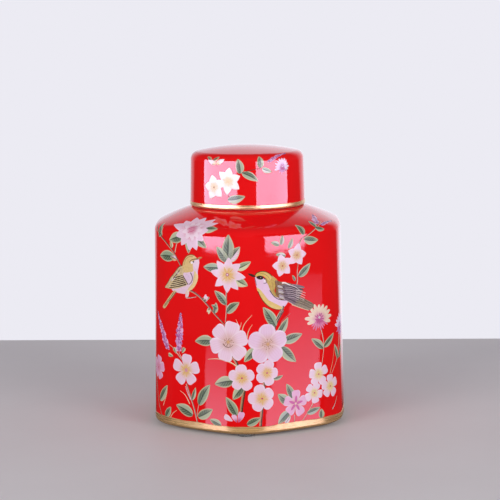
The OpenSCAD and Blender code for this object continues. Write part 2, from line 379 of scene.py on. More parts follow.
# %% White glaze and bare porcelain
white_glaze, tree = new_material("white_inner_glaze")
place = add(tree, "TexCoord").outputs["Object"]
clouds = add(tree, "TexNoise", {"Vector": place, "Scale": 35.0, "Detail": 3.0})
shade = add(tree, "Mix", {0: clouds, 6: "#EFEBE4", 7: "#F7F4EF"})
finish_material(tree, clouds, 0.00005, Base_Color=shade, Roughness=0.12, IOR=1.5)

bare_porcelain, tree = new_material("bare_fired_porcelain")
place = add(tree, "TexCoord").outputs["Object"]
grit = add(tree, "TexNoise", {"Vector": place, "Scale": 900.0, "Detail": 4.0, "Roughness": 0.7})
patches = add(tree, "TexNoise", {"Vector": place, "Scale": 60.0, "Detail": 3.0})
shade = add(tree, "Mix", {0: patches, 6: "#D8D0C4", 7: "#EAE4DA"})
finish_material(tree, grit, 0.00008, Base_Color=shade, Roughness=0.75, IOR=1.5)
print("materials", [m.name for m in bpy.data.materials])

# %% [markdown]
# ## Fired gold
# Bright gold is brushed on as a liquid and fired at a low heat, so it is a metal film a fraction of a
# hair thick. The brush leaves fine streaks along the band, and the film is worn thin where it is handled.
# Streaks run round the jar, so they come from height and not from a round-and-round noise.

# %% Fired gold
fired_gold, tree = new_material("fired_gold")
place = add(tree, "TexCoord").outputs["Object"]
brushed = add(tree, "Mapping", {"Vector": place, "Scale": (60.0, 60.0, 1400.0)})
streaks = add(tree, "TexNoise", {"Vector": brushed, "Scale": 1.0, "Detail": 4.0})
worn = add(tree, "TexNoise", {"Vector": place, "Scale": 85.0, "Detail": 5.0, "Roughness": 0.65})
tone = add(tree, "Mix", {0: streaks, 6: "#D8A25E", 7: "#FCDFAA"})
gold_tone = wash(tree, tone, worn, "#B9693F", 0.56, 0.74, 0.0, 0.55)
gold_rough = add(tree, "MapRange", {0: streaks, 1: 0.3, 2: 0.7, 3: 0.22, 4: 0.36})
finish_material(tree, streaks, 0.00006, Base_Color=gold_tone, Metallic=0.65, Roughness=gold_rough)
print("gold of", len(tree.nodes), "nodes")

# %% Clear silicone
clear_silicone, tree = new_material("clear_silicone")
place = add(tree, "TexCoord").outputs["Object"]
haze = add(tree, "TexNoise", {"Vector": place, "Scale": 700.0, "Detail": 3.0})
hazy = add(tree, "MapRange", {0: haze, 1: 0.3, 2: 0.7, 3: 0.15, 4: 0.3})
finish_material(tree, haze, 0.00003, Base_Color="#E6E9EC", Roughness=hazy, Transmission_Weight=0.85,
                IOR=1.41)
print("silicone of", len(tree.nodes), "nodes")

# %% [markdown]
# ## The glazed body
# One closed profile is walked from the middle of the foot, out and up the outside, over the lip of the
# neck, and down the inside to the middle of the floor. Each stop is a ring of the plan. The foot and the
# lip are wiped clean before firing, so they show bare porcelain, and the inside has a white glaze.

# %% Rings of a glazed shell
AROUND = 480


def ring_points(rings, count):
    """Points of the plan on each ring (half width, corner radius, height), evenly spaced round it."""
    share = (np.arange(count) / count)[None, :]
    x, y, _ = plan_at(rings[:, :1], rings[:, 1:2], share)
    return np.stack([x, y, np.broadcast_to(rings[:, 2:3], x.shape)], -1) * MM


def moved_in(rings, distance):
    """The same rings moved inwards along their outward direction."""
    half, corner, z, lean = rings.T
    level = distance * np.cos(lean)
    return np.stack([half - level, corner - level, z - distance * np.sin(lean)], 1)


def circles(radius, height):
    """Rings that are plain circles."""
    radius, height = np.broadcast_arrays(np.asarray(radius, float), np.asarray(height, float))
    return np.stack([radius, radius, height], 1)


RED, BARE, WHITE_IN = 0, 1, 2


def glaze_rows(piece, rings, around, ends, finishes):
    """Gives each row of faces a finish: the first up to the first end, the next up to the second, and so
    on. The closing faces of both poles come last in the mesh and go with the first and the last row."""
    row = np.concatenate([np.repeat(np.arange(rings - 1), around), np.zeros(around), np.full(around, rings)])
    for material in (red_glaze, bare_porcelain, white_glaze):
        piece.data.materials.append(material)
    finish = np.array(finishes)[np.searchsorted(ends, row, side="right")]
    piece.data.polygons.foreach_set("material_index", finish.astype(np.int32))

# %% Glazed body
recess_half = FOOT_HALF - FOOT_RIM
recess_corner = FOOT_HALF * CORNER_SHARE - FOOT_RIM
recess = np.array([[0.5, 0.5, RECESS_LEVEL], [20, 15, RECESS_LEVEL],
                   [recess_half, recess_corner, RECESS_LEVEL], [recess_half, recess_corner, FOOT_LEVEL + 0.3],
                   [recess_half + 0.3, recess_corner + 0.3, FOOT_LEVEL + 0.02]])
outside = moved_in(BODY_RINGS, PAINT_ROOM)
outside[0, 2] = FOOT_LEVEL + 0.02
lip = np.linspace(0, np.pi / 2, 7)
over_lip = np.concatenate([
    circles([NECK_RADIUS, NECK_RADIUS], [SEAT_HEIGHT, SEAT_HEIGHT + 4]),
    circles(NECK_RADIUS - LIP + LIP * np.cos(lip), NECK_TOP - LIP + LIP * np.sin(lip)),
    circles(MOUTH_RADIUS + LIP - LIP * np.sin(lip), NECK_TOP - LIP + LIP * np.cos(lip))])
inner = moved_in(BODY_RINGS[BODY_RINGS[:, 2] > FLOOR_TOP + FLOOR_FILLET], BODY_WALL)[::-1]
inner = inner[inner[:, 0] > MOUTH_RADIUS + 1]
under_neck = circles([MOUTH_RADIUS, MOUTH_RADIUS + 0.5], [inner[0, 2] + 1.4, inner[0, 2] + 0.9])
fillet = np.linspace(0, -np.pi / 2, 8)[1:]
fillet_z = FLOOR_TOP + FLOOR_FILLET * (1 + np.sin(fillet))
pulled = BODY_WALL + FLOOR_FILLET * (1 - np.cos(fillet))
floor = np.stack([side_half(fillet_z) - pulled, side_half(fillet_z) * CORNER_SHARE - pulled, fillet_z], 1)
floor_middle = np.array([[30, 20, FLOOR_TOP], [0.5, 0.5, FLOOR_TOP]])
body_rings = np.concatenate([recess, outside, over_lip, under_neck, inner, floor, floor_middle])
glazed_body = closed_shell("glazed_body", ring_points(body_rings, AROUND), "jar")
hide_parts("jar_body")

lip_first = len(recess) + len(outside) + 2 + 4
lip_last = lip_first + 8
glaze_rows(glazed_body, len(body_rings), AROUND, [len(recess) + 1, lip_first, lip_last],
           [BARE, RED, BARE, WHITE_IN])
print("glazed body", len(glazed_body.data.polygons), "faces,", len(body_rings), "rings")

# %% [markdown]
# ## The glazed cap
# The cap is walked the same way: from the middle of its ceiling, down the inside, round the rim and up
# the outside to the middle of the dome. It was fired standing on its rim, so the rim's edge is bare.

# %% Glazed cap
CAP_AROUND = 288
inner_edge = 4.0
bowl = np.linspace(0, np.pi / 2, 7)
inner_dome = CAP_DOME - CAP_WALL
across = np.linspace(0.5, CAP_INNER - inner_edge, 9)
ceiling_at = CAP_TOP - CAP_DOME + np.sqrt(inner_dome ** 2 - across ** 2)
inner_corner = ceiling_at[-1] - inner_edge
inside_cap = np.concatenate([
    circles(across, ceiling_at),
    circles(CAP_INNER - inner_edge + inner_edge * np.sin(bowl[1:]),
            inner_corner + inner_edge * np.cos(bowl[1:])),
    circles([CAP_INNER, CAP_INNER, CAP_INNER + 0.5],
            [SEAT_HEIGHT + 10, SEAT_HEIGHT + 0.6, SEAT_HEIGHT + 0.05])])
level = PAINT_ROOM * np.cos(CAP_RINGS[:, 2])
outside_cap = circles(CAP_RINGS[:, 0] - level, CAP_RINGS[:, 1] - PAINT_ROOM * np.sin(CAP_RINGS[:, 2]))
outside_cap[0, 2] = SEAT_HEIGHT + 0.05
cap_rings = np.concatenate([inside_cap, outside_cap])
glazed_cap = closed_shell("glazed_cap", ring_points(cap_rings, CAP_AROUND), "lid")
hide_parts("cap")
inside_rows = len(inside_cap)
glaze_rows(glazed_cap, len(cap_rings), CAP_AROUND, [inside_rows - 2, inside_rows + 1], [WHITE_IN, BARE, RED])
print("glazed cap", len(glazed_cap.data.polygons), "faces")

# %% [markdown]
# ## Gold along the foot and the rim
# The gold is brushed by hand on a turntable, so its upper edge wanders a little. Each band is a skin that
# lies a tenth of a millimetre above the glaze and dips under it at its edges, which closes them.

# %% Gold bands
BAND_LIFT = 0.1
BAND_DIP = -0.05


def wander(turns, size, seed):
    """A smooth random wobble round a full turn: a sum of a few sine waves with random phases."""
    draw = np.random.default_rng(seed)
    waves = np.array([3, 5, 8, 13, 21, 34])
    phase = draw.uniform(0, 2 * np.pi, len(waves))
    strength = draw.uniform(0.4, 1.0, len(waves)) / np.sqrt(waves / 3)
    return size * (strength * np.sin(turns[:, None] * waves + phase)).sum(1) / strength.sum()


def gold_band(name, skin, around, full, low, high, wobble, seed, body, node):
    """A grid that follows the skin from its low edge to a wandering high edge, both dipped under."""
    girth = np.arange(around) / around * full
    top = high + wander(girth / full * 2 * np.pi, wobble, seed)
    share = np.concatenate([[0.0], np.linspace(0.015, 0.985, 22), [1.0]])[:, None]
    climb = low + (top - low)[None, :] * share
    lift = np.where((share == 0) | (share == 1), BAND_DIP, BAND_LIFT) + 0 * climb
    points = skin(np.broadcast_to(girth, climb.shape), climb, lift)
    piece = make_piece(name, points, grid_faces(len(share), around, True), None, body, 0)
    piece.data.materials.append(fired_gold)
    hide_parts(node)
    return piece


foot_gold = gold_band("foot_gold_band", body_skin, AROUND, GIRTH, BODY_CLIMB[0] + 0.3, 8.3, 0.9, 5, "jar",
                      "foot_gilding")
rim_gold = gold_band("rim_gold_band", cap_skin, CAP_AROUND, CAP_GIRTH, 0.3, 4.1, 0.35, 6, "lid",
                     "cap_rim_gilding")
print("gold bands", foot_gold.name, rim_gold.name)

# %% [markdown]
# ## Bumper pads
# The jar stands on small clear silicone bumpers. Each is a disc with a rounded lower edge and a flat
# top with a small bevel, turned about its own middle, which the frame gives.

# %% Bumper pads
pad_names = sorted(n for n in frame["nodes"] if n.startswith("bumper_pad_"))
for number, node in enumerate(pad_names, 1):
    low, high = (np.array(c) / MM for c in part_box(node))
    middle = (low + high) / 2
    radius = (high[0] - low[0]) / 2 - 0.02
    turn = np.linspace(-np.pi / 2, 0, 6)
    section = np.concatenate([
        [[0.3, low[2] + 0.01], [radius - 0.9, low[2] + 0.01]],
        np.stack([radius - 0.6 + 0.6 * np.cos(turn), low[2] + 0.61 + 0.6 * np.sin(turn)], 1),
        [[radius, high[2] - 0.1], [radius - 0.3, high[2]], [0.3, high[2]]]])
    angle = np.arange(64) / 64 * 2 * np.pi
    rings = np.stack([
        middle[0] + section[:, :1] * np.cos(angle), middle[1] + section[:, :1] * np.sin(angle),
        np.broadcast_to(section[:, 1:], (len(section), 64))], -1) * MM
    pad = closed_shell(f"clear_pad_{number}", rings, "jar")
    pad.data.materials.append(clear_silicone)
    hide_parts(node)
print("pads", pad_names)

# %% [markdown]
# ## Enamel marks
# Each petal, leaf, stem and feather on the real jar is a thin raised layer of enamel. Painting them as a
# picture would lose the relief, so each one is its own little grid, laid flat in millimetres, turned, and
# carried onto the skin. Its outermost row dips under the glaze, so the edge is closed. Marks of one kind
# are joined into one piece. They keep two colours and a map of across and along for their material.

# %% Laying a mark on the skin
skins = {"body": (body_skin, body_stretch, GIRTH), "cap": (cap_skin, cap_stretch, CAP_GIRTH)}
marks = {}
canvas = "body"
EDGE_DIP = -0.03


def marks_so_far(part):
    """Says how many marks are laid when a part of the pattern is done."""
    print(part, "done,", sum(len(laid) for laid in marks.values()), "marks so far")


def lay(kind, at, x, y, across, along, tint, heart, lift, rim=None):
    """Carries a flat grid (x, y in mm round a place) onto the canvas, there and half a turn away."""
    skin, stretch, full = skins[canvas]
    climb = at[1] + y
    edge = np.zeros(x.shape, bool)
    if rim is None:
        edge[[0, -1]] = True
        edge[:, [0, -1]] = True
    else:
        edge[rim] = True
    height = np.where(edge, EDGE_DIP, lift)
    for half_turn in (0.0, 0.5):
        points = skin(at[0] + x * stretch(climb) + full * half_turn, climb, height)
        marks.setdefault((canvas, kind), []).append((points, across, along, linear(tint), linear(heart)))

# %% Petals and spots
def turned(x, y, angle):
    """Turns flat points by an angle in degrees, counted from straight up towards the right."""
    a = np.radians(angle)
    return x * np.cos(a) + y * np.sin(a), y * np.cos(a) - x * np.sin(a)


PETAL_SHAPES = {"round": (0.95, 0.36), "pointed": (0.75, 1.05), "broad": (0.85, 0.55), "leaf": (0.7, 1.0),
                "thin": (0.5, 0.45)}


def petal(kind, at, angle, length, width, shape, tint, heart, lift, bend=0.0):
    """A petal or leaf: width follows s^a (1-s)^b along its length s, and the middle line bows sideways."""
    a, b = PETAL_SHAPES[shape]
    rows = max(6, int(length / 0.9) + 2)
    s = np.linspace(0.015, 0.985, rows)[:, None]
    cols = max(5, int(width / 0.9) + 3)
    t = np.linspace(-1, 1, cols)[None, :]
    peak = (a / (a + b)) ** a * (b / (a + b)) ** b
    x = t * width / 2 * s ** a * (1 - s) ** b / peak + bend * length * s * (1 - s)
    y = length * s + 0 * t
    x, y = turned(x, y, angle)
    lay(kind, at, x, y, (t + 1) / 2 + 0 * s, s + 0 * t, tint, heart, lift)


def disc(kind, at, radius, tint, heart, lift, oval=1.0, angle=0.0):
    """A round or oval spot: rings of points about its middle, the outer ring dipped under."""
    r = np.linspace(0.03, 1, max(4, int(radius / 0.7) + 3))[:, None]
    turn = np.linspace(0, 2 * np.pi, 17)[None, :]
    x, y = turned(radius * oval * r * np.cos(turn), radius * r * np.sin(turn), angle)
    lay(kind, at, x, y, r * np.cos(turn) / 2 + 0.5, r + 0 * turn, tint, heart, lift, rim=[-1])

# %% Smooth lines, strokes and outlined shapes
def through(points, spacing=0.9, closed=False):
    """A smooth line through given points: cubic pieces whose slope at each point is half the step
    from the point before it to the point after it."""
    p = np.array(points, float)
    before = np.roll(p, 1, 0) if closed else np.concatenate([p[:1], p[:-1]])
    after = np.roll(p, -1, 0) if closed else np.concatenate([p[1:], p[-1:]])
    slope = (after - before) / 2
    q = after if closed else p[1:]
    p0, m0 = (p, slope) if closed else (p[:-1], slope[:-1])
    m1 = np.roll(slope, -1, 0) if closed else slope[1:]
    count = max(3, int(np.hypot(*(q - p0).T).max() / spacing) + 1)
    t = np.linspace(0, 1, count, endpoint=False)[None, :, None]
    line = ((2 * t ** 3 - 3 * t ** 2 + 1) * p0[:, None] + (t ** 3 - 2 * t ** 2 + t) * m0[:, None]
            + (3 * t ** 2 - 2 * t ** 3) * q[:, None] + (t ** 3 - t ** 2) * m1[:, None]).reshape(-1, 2)
    return line if closed else np.concatenate([line, p[-1:]])


def stroke(kind, points, width, tint, heart, lift=0.06, tip=0.4):
    """A brush stroke: a smooth line, widened to both sides along its normals, thinner at its end."""
    line = through(points)
    middle = line.mean(0)
    line = line - middle
    ahead = np.gradient(line, axis=0)
    ahead /= np.linalg.norm(ahead, axis=1)[:, None] + 1e-9
    s = np.linspace(0, 1, len(line))
    w = width / 2 * (1 - (1 - tip) * s)
    t = np.linspace(-1, 1, 5)
    x = line[:, :1] - ahead[:, 1:] * w[:, None] * t
    y = line[:, 1:] + ahead[:, :1] * w[:, None] * t
    lay(kind, middle, x, y, (t[None, :] + 1) / 2 + 0 * x, s[:, None] + 0 * x, tint, heart, lift)


def blob(kind, at, outline, tint, heart, lift):
    """A painted shape with a given outline, filled by rings that shrink to its middle."""
    line = through(outline, closed=True)
    line = np.concatenate([line, line[:1]])[::-1]
    middle = line.mean(0)
    r = np.linspace(0.02, 1, 12)[:, None]
    x = middle[0] + (line[:, 0] - middle[0])[None, :] * r
    y = middle[1] + (line[:, 1] - middle[1])[None, :] * r
    size = np.ptp(x)
    lay(kind, at, x, y, (y - y.min()) / size, (x - x.min()) / size, tint, heart, lift, rim=[-1])

# %% [markdown]
# ## Flowers, leaves and twigs
# The pattern has a few kinds of flower: star flowers with a gold heart, big open blossoms with brown
# stamens, a many-petalled one, asters, and lilac spikes. Each kind is a function of its place and size.

# %% Enamel colours
PINK = "#EBCBDD"
WHITE = "#F0E0E8"
GOLD_HEART = "#E3B86E"
TAN = "#C99A6B"
MAGENTA = "#C2356F"
LILAC = "#C98BC4"
PURPLE = "#6B2E63"
GREEN = "#7E8F72"
DEEP_GREEN = "#42543F"
CREAM = "#D9D3AC"
STEM = "#E6B8A6"
BARK = "#C9957C"
TRUNK = "#B58A66"
BROWN = "#6E4236"
DARK = "#33221F"
GRASS = "#F0DABB"

# %% Leaves
# A mark's edge dips under the glaze, so what shows is a little smaller than what is laid: leaves and
# thin lines are laid larger. Lifts, in millimetres, put one kind of mark over another.
LEAF_TONES = ("#9DAA90", "#AAB398", "#B4BA9C", "#8FA084")
LEAF_LENGTHEN = 1.08
LEAF_WIDEN = 1.12
LINE_WIDEN = 1.35
STEM_LIFT = 0.06
GRASS_LIFT = 0.07
LEAF_LIFT = 0.08
PETAL_LIFT = 0.1
LINE_LIFT = 0.17


def leaf(at, angle, length, width, bend=0.3, tint=None, heart=DEEP_GREEN):
    """A pointed leaf with a midrib, its green drawn by lot from a few."""
    tone = LEAF_TONES[int(rng.integers(len(LEAF_TONES)))]
    petal("leaves", at, angle, length * LEAF_LENGTHEN, width * LEAF_WIDEN, "leaf", tint or tone, heart,
          LEAF_LIFT, bend)


def leaves(*rows):
    """Leaves from rows of girth, climb, angle, length, width, and what else a leaf needs."""
    for girth, climb, *rest in rows:
        leaf((girth, climb), *rest)

# %% Flowers and blossoms
def flower(at, size, petals, turn=0.0, shape="round", tint=PINK, heart=GOLD_HEART, dot=MAGENTA,
           plump=1.0):
    """Petals evenly round a place, each a little different, then a gold star and a dot in the heart."""
    fullness = 0.7 if shape == "pointed" else 0.8
    for i in range(petals):
        angle = turn + 360 * i / petals + rng.uniform(-5, 5)
        reach = size / 2 * rng.uniform(0.93, 1.07)
        width = size * np.sin(np.pi / petals) * fullness * plump
        petal("petals", at, angle, reach, width, shape, tint, heart, PETAL_LIFT + 0.01 * (i % 3),
              rng.uniform(-0.15, 0.15))
    for i in range(petals * 2):
        petal("hearts", at, turn + 180 * i / petals + rng.uniform(-9, 9), size * rng.uniform(0.15, 0.27),
              size * 0.045, "thin", heart, "#C98F4E", 0.14)
    disc("hearts", at, size * 0.075, heart, TAN, 0.15)
    if dot:
        disc("hearts", at, size * 0.045, dot, "#E58FAE", 0.17, 1.2)


def blossom(at, size, petals=6, turn=0.0, tint=PINK, shape="round"):
    """A big open blossom: broad petals over a tan-shaded heart, with brown stamens that end in dots."""
    for i in range(petals):
        angle = turn + 360 * i / petals + rng.uniform(-4, 4)
        petal("petals", at, angle, size / 2 * rng.uniform(0.95, 1.06),
              size * np.sin(np.pi / petals) * 0.78, shape, tint, "#D9B0A4", PETAL_LIFT + 0.01 * (i % 3),
              rng.uniform(-0.1, 0.1))
    for i in range(14):
        angle = 360 * i / 14 + rng.uniform(-12, 12)
        reach = size * rng.uniform(0.06, 0.14)
        x, y = turned(0.0, reach, angle)
        petal("hearts", at, angle, reach, 0.45, "thin", "#B98A6A", "#8A5A44", 0.14)
        disc("hearts", (at[0] + x, at[1] + y), 0.42, "#9A6A4A", BROWN, 0.16)
    disc("hearts", at, size * 0.05, "#D9A878", "#9A6A4A", 0.15)

# %% Spikes, asters and buds
def spike(points, width, tint=LILAC, grains=PURPLE):
    """A flower spike: a spindle of many small florets along a line, with dark grains between them."""
    line = through(points, 1.1)
    for i, (g, v) in enumerate(line):
        share = i / max(1, len(line) - 1)
        size = width * (0.25 + 0.75 * np.sin(np.pi * min(1.0, 0.18 + 0.85 * share)) ** 0.8)
        for side in (-1, 0, 1):
            x = side * size * 0.28 + rng.uniform(-0.1, 0.1) * size
            tone = (tint, "#E3AFDA", "#B565A5")[int(rng.integers(3))]
            disc("petals", (g + x, v + rng.uniform(-0.4, 0.4)), 0.17 * size * rng.uniform(0.75, 1.15),
                 tone, tone, 0.09 + 0.008 * (i % 4), 1.15, rng.uniform(0, 90))
        for _ in range(2):
            x = rng.uniform(-0.36, 0.36) * size
            disc("hearts", (g + x, v + rng.uniform(-0.5, 0.5)), 0.3, grains, grains, 0.15, 1.3)


def aster(at, size, top, below, turn=0.0):
    """An aster seen at a slant: long broad petals above, a fringe of thin dark ones below, over a ring
    of short deep pink petals."""
    for i in range(11):
        angle = turn - 105 + 21 * i
        petal("petals", at, angle, size * 0.54 * rng.uniform(0.86, 1.1), size * 0.15, "broad", top, below,
              PETAL_LIFT + 0.01 * (i % 3))
    for i in range(8):
        angle = turn + 122 + 16 * i
        petal("petals", at, angle, size * 0.4 * rng.uniform(0.8, 1.15), size * 0.065, "thin", below,
              MAGENTA, 0.12 + 0.008 * (i % 3))
    for i in range(12):
        petal("hearts", at, 30 * i + rng.uniform(-6, 6), size * rng.uniform(0.17, 0.26), size * 0.06,
              "thin", "#C2568F", PURPLE, 0.145)
    disc("hearts", (at[0], at[1] + size * 0.05), size * 0.055, "#EBD9DC", PURPLE, 0.16, 1.2)


def bud(at, angle, size, tint=PINK):
    """A closed bud: two petals and a small green cup."""
    petal("petals", at, angle - 10, size, size * 0.55, "pointed", tint, GOLD_HEART, 0.1)
    petal("petals", at, angle + 14, size * 0.85, size * 0.45, "pointed", tint, MAGENTA, 0.11)
    petal("leaves", at, angle, size * 0.45, size * 0.45, "leaf", GREEN, DEEP_GREEN, 0.13)

# %% Twigs, blades and thin lines
def twig(points, width=1.2, tint=STEM, heart=BROWN, tip=0.5):
    """A stem or twig."""
    stroke("stems", points, width, tint, heart, STEM_LIFT, tip)


def grass(points, width=0.9):
    """A thin pale blade."""
    stroke("stems", points, width, GRASS, TAN, GRASS_LIFT, 0.3)


def line_of(points, width=0.45, tint=DARK, lift=LINE_LIFT):
    """A thin painted line."""
    stroke("hearts", points, width * LINE_WIDEN, tint, tint, lift, 0.6)

# %% Upper left: the many-petalled flower and its branch
twig([(-84, 150), (-75, 144), (-67, 139), (-59, 132), (-52, 122), (-49, 117)], 2.0, BARK, DARK)
twig([(-58, 132), (-56, 139), (-52, 144), (-46, 147)], 1.3)
leaves((-72, 143, -22, 12, 4.6, -0.3), (-77, 142, 25, 9, 4.5, 0.3), (-58, 129, -92, 16, 8, 0.1),
       (-61, 135, -10, 6, 3, 0.2, CREAM, TAN), (-56, 127, -75, 7, 4, 0.2, PINK, GOLD_HEART))
for place, angle, length, width in (((-50, 145), -108, 13, 8), ((-34, 152), 88, 12, 7),
                                    ((-40, 146), 128, 13, 6.5), ((-44, 146), -176, 13, 6)):
    leaf(place, angle, length, width, 0.1)
for i, (angle, length) in enumerate(((-78, 20), (-50, 16), (-20, 17), (8, 17), (38, 19), (60, 20),
                                     (88, 15), (125, 14), (160, 16), (185, 16), (215, 15), (248, 15))):
    petal("petals", (-43, 150), angle, length, 9, "pointed", PINK, "#D9899A", PETAL_LIFT + 0.005 * (i % 3),
          0.1 * (-1) ** i)
for i in range(9):
    petal("petals", (-42.5, 150.5), 40 * i + 12, 9.5, 5.6, "pointed", "#EFD6E2", "#D07896", 0.125)
stroke("hearts", [(-47, 150), (-43, 152.5), (-38, 155)], 0.9, MAGENTA, MAGENTA, 0.15)
stroke("hearts", [(-46, 147.5), (-42, 149), (-40, 150)], 0.7, MAGENTA, MAGENTA, 0.15)
marks_so_far("upper left")

# %% Middle left: perch of the left bird, and the eight-petalled flower
twig([(-46, 106), (-38, 103), (-30, 97), (-22, 89), (-14, 82)], 2.0, BARK, DARK)
bud((-31, 98), 20, 6, PINK)
leaves((-33, 100, 75, 6, 3))
bud((-27, 94), 200, 5, CREAM)
leaves((-23, 90, 10, 8, 4, 0.2), (-20, 93, -60, 6, 3))
twig([(-12, 116), (-13, 104), (-13, 94), (-14, 84)], 1.6)
for angle, length, width, tone in ((-38, 13, 7, None), (40, 14, 7, PINK), (3, 19, 9, "#A7AC9B")):
    leaf((-12, 128), angle, length, width, 0.05, tone, DEEP_GREEN)
leaves((-18, 124, -92, 13, 6.5, -0.1), (-6, 123, 64, 12, 5.5, 0.15, CREAM, GREEN),
       (-7, 117, 120, 11, 6.5, 0.2, CREAM, GREEN))
flower((-12, 119), 27, 8, 5, "pointed", PINK, GOLD_HEART, None, 1.0)
disc("hearts", (-12, 119), 1.7, "#C06C7C", MAGENTA, 0.17)
disc("hearts", (-12, 119), 0.8, WHITE, WHITE, 0.19)
leaves((-13, 97, -45, 13, 6, 0.2), (-13, 91, 50, 12, 6, -0.2))
marks_so_far("middle left")

# %% Upper right: small star flowers and the twig with lilac spikes
twig([(40, 106), (42, 112), (42, 119), (43, 126)], 1.3)
twig([(44, 137), (46, 142), (52, 145), (62, 151), (70, 156)], 1.3)
leaves((43, 115, 48, 13, 5.6, 0.15), (40, 112, -25, 5, 2.2))
flower((42, 131), 17, 5, 12, "pointed", PINK, "#DDB27A", "#B5533C", 0.95)
flower((30, 124), 17.5, 5, -14, "pointed", PINK, "#DDB27A", "#B5533C", 0.95)
for at, angle, length in (((28, 139), -70, 7), ((29, 139), 10, 7), ((35, 136), 25, 8), ((33, 131), -80, 8)):
    leaf(at, angle, length, 3.6, 0.2, "#D6D5CE", GREEN)
leaves((48, 145, -21, 10, 5, 0.2), (48, 142, 96, 12, 6, 0.2), (60, 150, 0, 8, 4, 0.2),
       (59, 150, 104, 8, 4, 0.2))
spike([(64, 154), (70, 160), (77, 165)], 6, "#D9A9CF", PURPLE)
spike([(68, 152), (76, 154), (86, 154)], 5.5, "#D9A9CF", PURPLE)
marks_so_far("upper right")

# %% [markdown]
# ## The two birds
# The birds are small finches with an olive crown, a pink breast with a gold edge, and barred wings. Each
# is built as a painter would: tail first, then the body, the wing feathers over it, the head and the eye.
# The outlines are listed points in millimetres round the bird's middle.

# %% Places given round a bird's middle
def near(points):
    """Points given round the bird's middle, as places on the jar."""
    return [(bird[0] + x, bird[1] + y) for x, y in points]


def spot(x, y):
    """One place given round the bird's middle."""
    return near([(x, y)])[0]


def plume(outline, tint, heart, lift):
    """A patch of plumage, its outline given round the bird's middle."""
    blob("plumage", bird, outline, tint, heart, lift)


def quill(points, width=0.45, tint=DARK, lift=LINE_LIFT):
    """A thin painted line, given round the bird's middle."""
    line_of(near(points), width, tint, lift)

# %% The bird on the left
bird = (-44, 116)
plume([(-12, -10), (-16, -13), (-23.5, -21), (-27.6, -25.4), (-24.4, -26), (-18, -18.6), (-12.6, -13)],
      "#DCC48E", "#A88F62", 0.09)
for i in range(2):
    quill([(-14.4 + 1.6 * i, -12.6), (-20 + 1.4 * i, -19), (-25.6 + i, -24.4)], 0.7, "#6B5640", 0.12)
plume([(8.3, 11.6), (8.2, 8), (7.2, 4), (7.2, -1), (5.8, -5), (3, -8.8), (-1, -11.8), (-5, -13.8),
       (-14.4, -13), (-17, -10.6), (-8, -3), (-5, 4), (-2, 10), (3, 12)], "#E6C3D6", "#EBD0DE", 0.1)
plume([(4.4, 5), (7, 2), (7.3, -1), (5.9, -5), (3, -8.9), (-1.4, -12), (-4.4, -13.6), (-3, -11),
       (1.4, -7), (4, -3), (4.6, 1)], "#E6C68A", "#EED9A4", 0.115)
plume([(4.6, 14.9), (1.6, 15.6), (-2.5, 14.2), (-5.5, 10.5), (-7, 6), (-8, 3.5), (-5, 1.6), (0, 2.4),
       (3.4, 3.4), (3.2, 8), (3.6, 11.6), (6.6, 13)], "#E0C084", "#CDA862", 0.12)
plume([(-7, 7), (-10.2, 5.6), (-14.5, 1), (-18.2, -2.8), (-21, -6.6), (-24.6, -10.5), (-20.5, -11),
       (-14, -11.2), (-8, -9.6), (-1.6, -6.6), (-4, -2.4), (-5.6, 1), (-5, 4.4)], "#D8C094", "#B79C72",
      0.12)
for i in range(7):
    start = (bird[0] - 2.4 - 0.7 * i, bird[1] - 7 + 1.25 * i)
    petal("feathers", start, 260 - 4.6 * i, 19.2 - 1.5 * i, 2.7, "thin",
          "#F0DFB4" if i % 2 else "#DCC79A", "#A98E66", 0.14 + 0.006 * i, 0.06)
for i in range(4):
    petal("feathers", (bird[0] - 7.4 - 1.7 * i, bird[1] + 5.8 - 2.2 * i), 222 + 3 * i, 7.4, 2.6, "leaf",
          "#EAD9D2" if i % 2 else "#CDB48C", "#6A5340", 0.19)
for i in range(6):
    back = -19.8 + 1.2 * i
    quill([(-3 - 0.75 * i, -6.2 + 1.2 * i), (-10.5 - 0.5 * i, -8.4 + 1.25 * i), (back, -10.4 + 1.55 * i)],
          1.15, "#4A3428", 0.2)
for i in range(3):
    quill([(-9 - 2.2 * i, 3.8 - 2.4 * i), (-11.4 - 2.3 * i, 1.2 - 2.4 * i)], 1.2, "#4A3428", 0.205)
quill([(-7, 7.2), (-10.4, 5.6), (-14.6, 1), (-18.4, -2.8), (-21.2, -6.6), (-24.8, -10.7)], 0.5, "#5A4434")
quill([(-6.6, 0), (-4.4, -2.8), (-1.4, -6.8)], 1.0, "#4A3428", 0.205)
quill([(0.4, 2.8), (2, 0.4), (2.3, -2.2), (1.2, -4.6), (-1.2, -6.6)], 0.8, DARK)
plume([(-3.8, 1.2), (-1, 2), (0.8, 0.2), (1, -2.6), (-1.2, -5.4), (-3.4, -2.6)], "#E3C6DC", "#D2B4CC", 0.15)
plume([(8.2, 12.6), (8.2, 9), (7, 5.4), (4.6, 6), (3.2, 8.4), (3.2, 10.6), (5.4, 12.2)], "#EAC9DC",
      "#F0DFE8", 0.14)
petal("plumage", spot(-1.4, -9.6), 196, 7.4, 3.2, "thin", "#EAC9D8", "#E6C68A", 0.14)
disc("hearts", spot(2, 9.9), 1.3, "#F4E9EE", WHITE, 0.165)
quill([(7.6, 12.8), (4.8, 12.7), (1.6, 11.8), (-0.4, 9.6)], 0.9, "#7A5A38")
quill([(3.4, 14.4), (-0.6, 14), (-3.8, 11.4), (-5, 7.4)], 0.7, "#B89552")
disc("hearts", spot(3.5, 10.7), 0.95, DARK, DARK, 0.18)
disc("hearts", spot(3.8, 11), 0.3, WHITE, WHITE, 0.195)
petal("hearts", spot(6.8, 13), 72, 4.8, 1.8, "leaf", "#D08A5E", "#5E3A2A", 0.15)
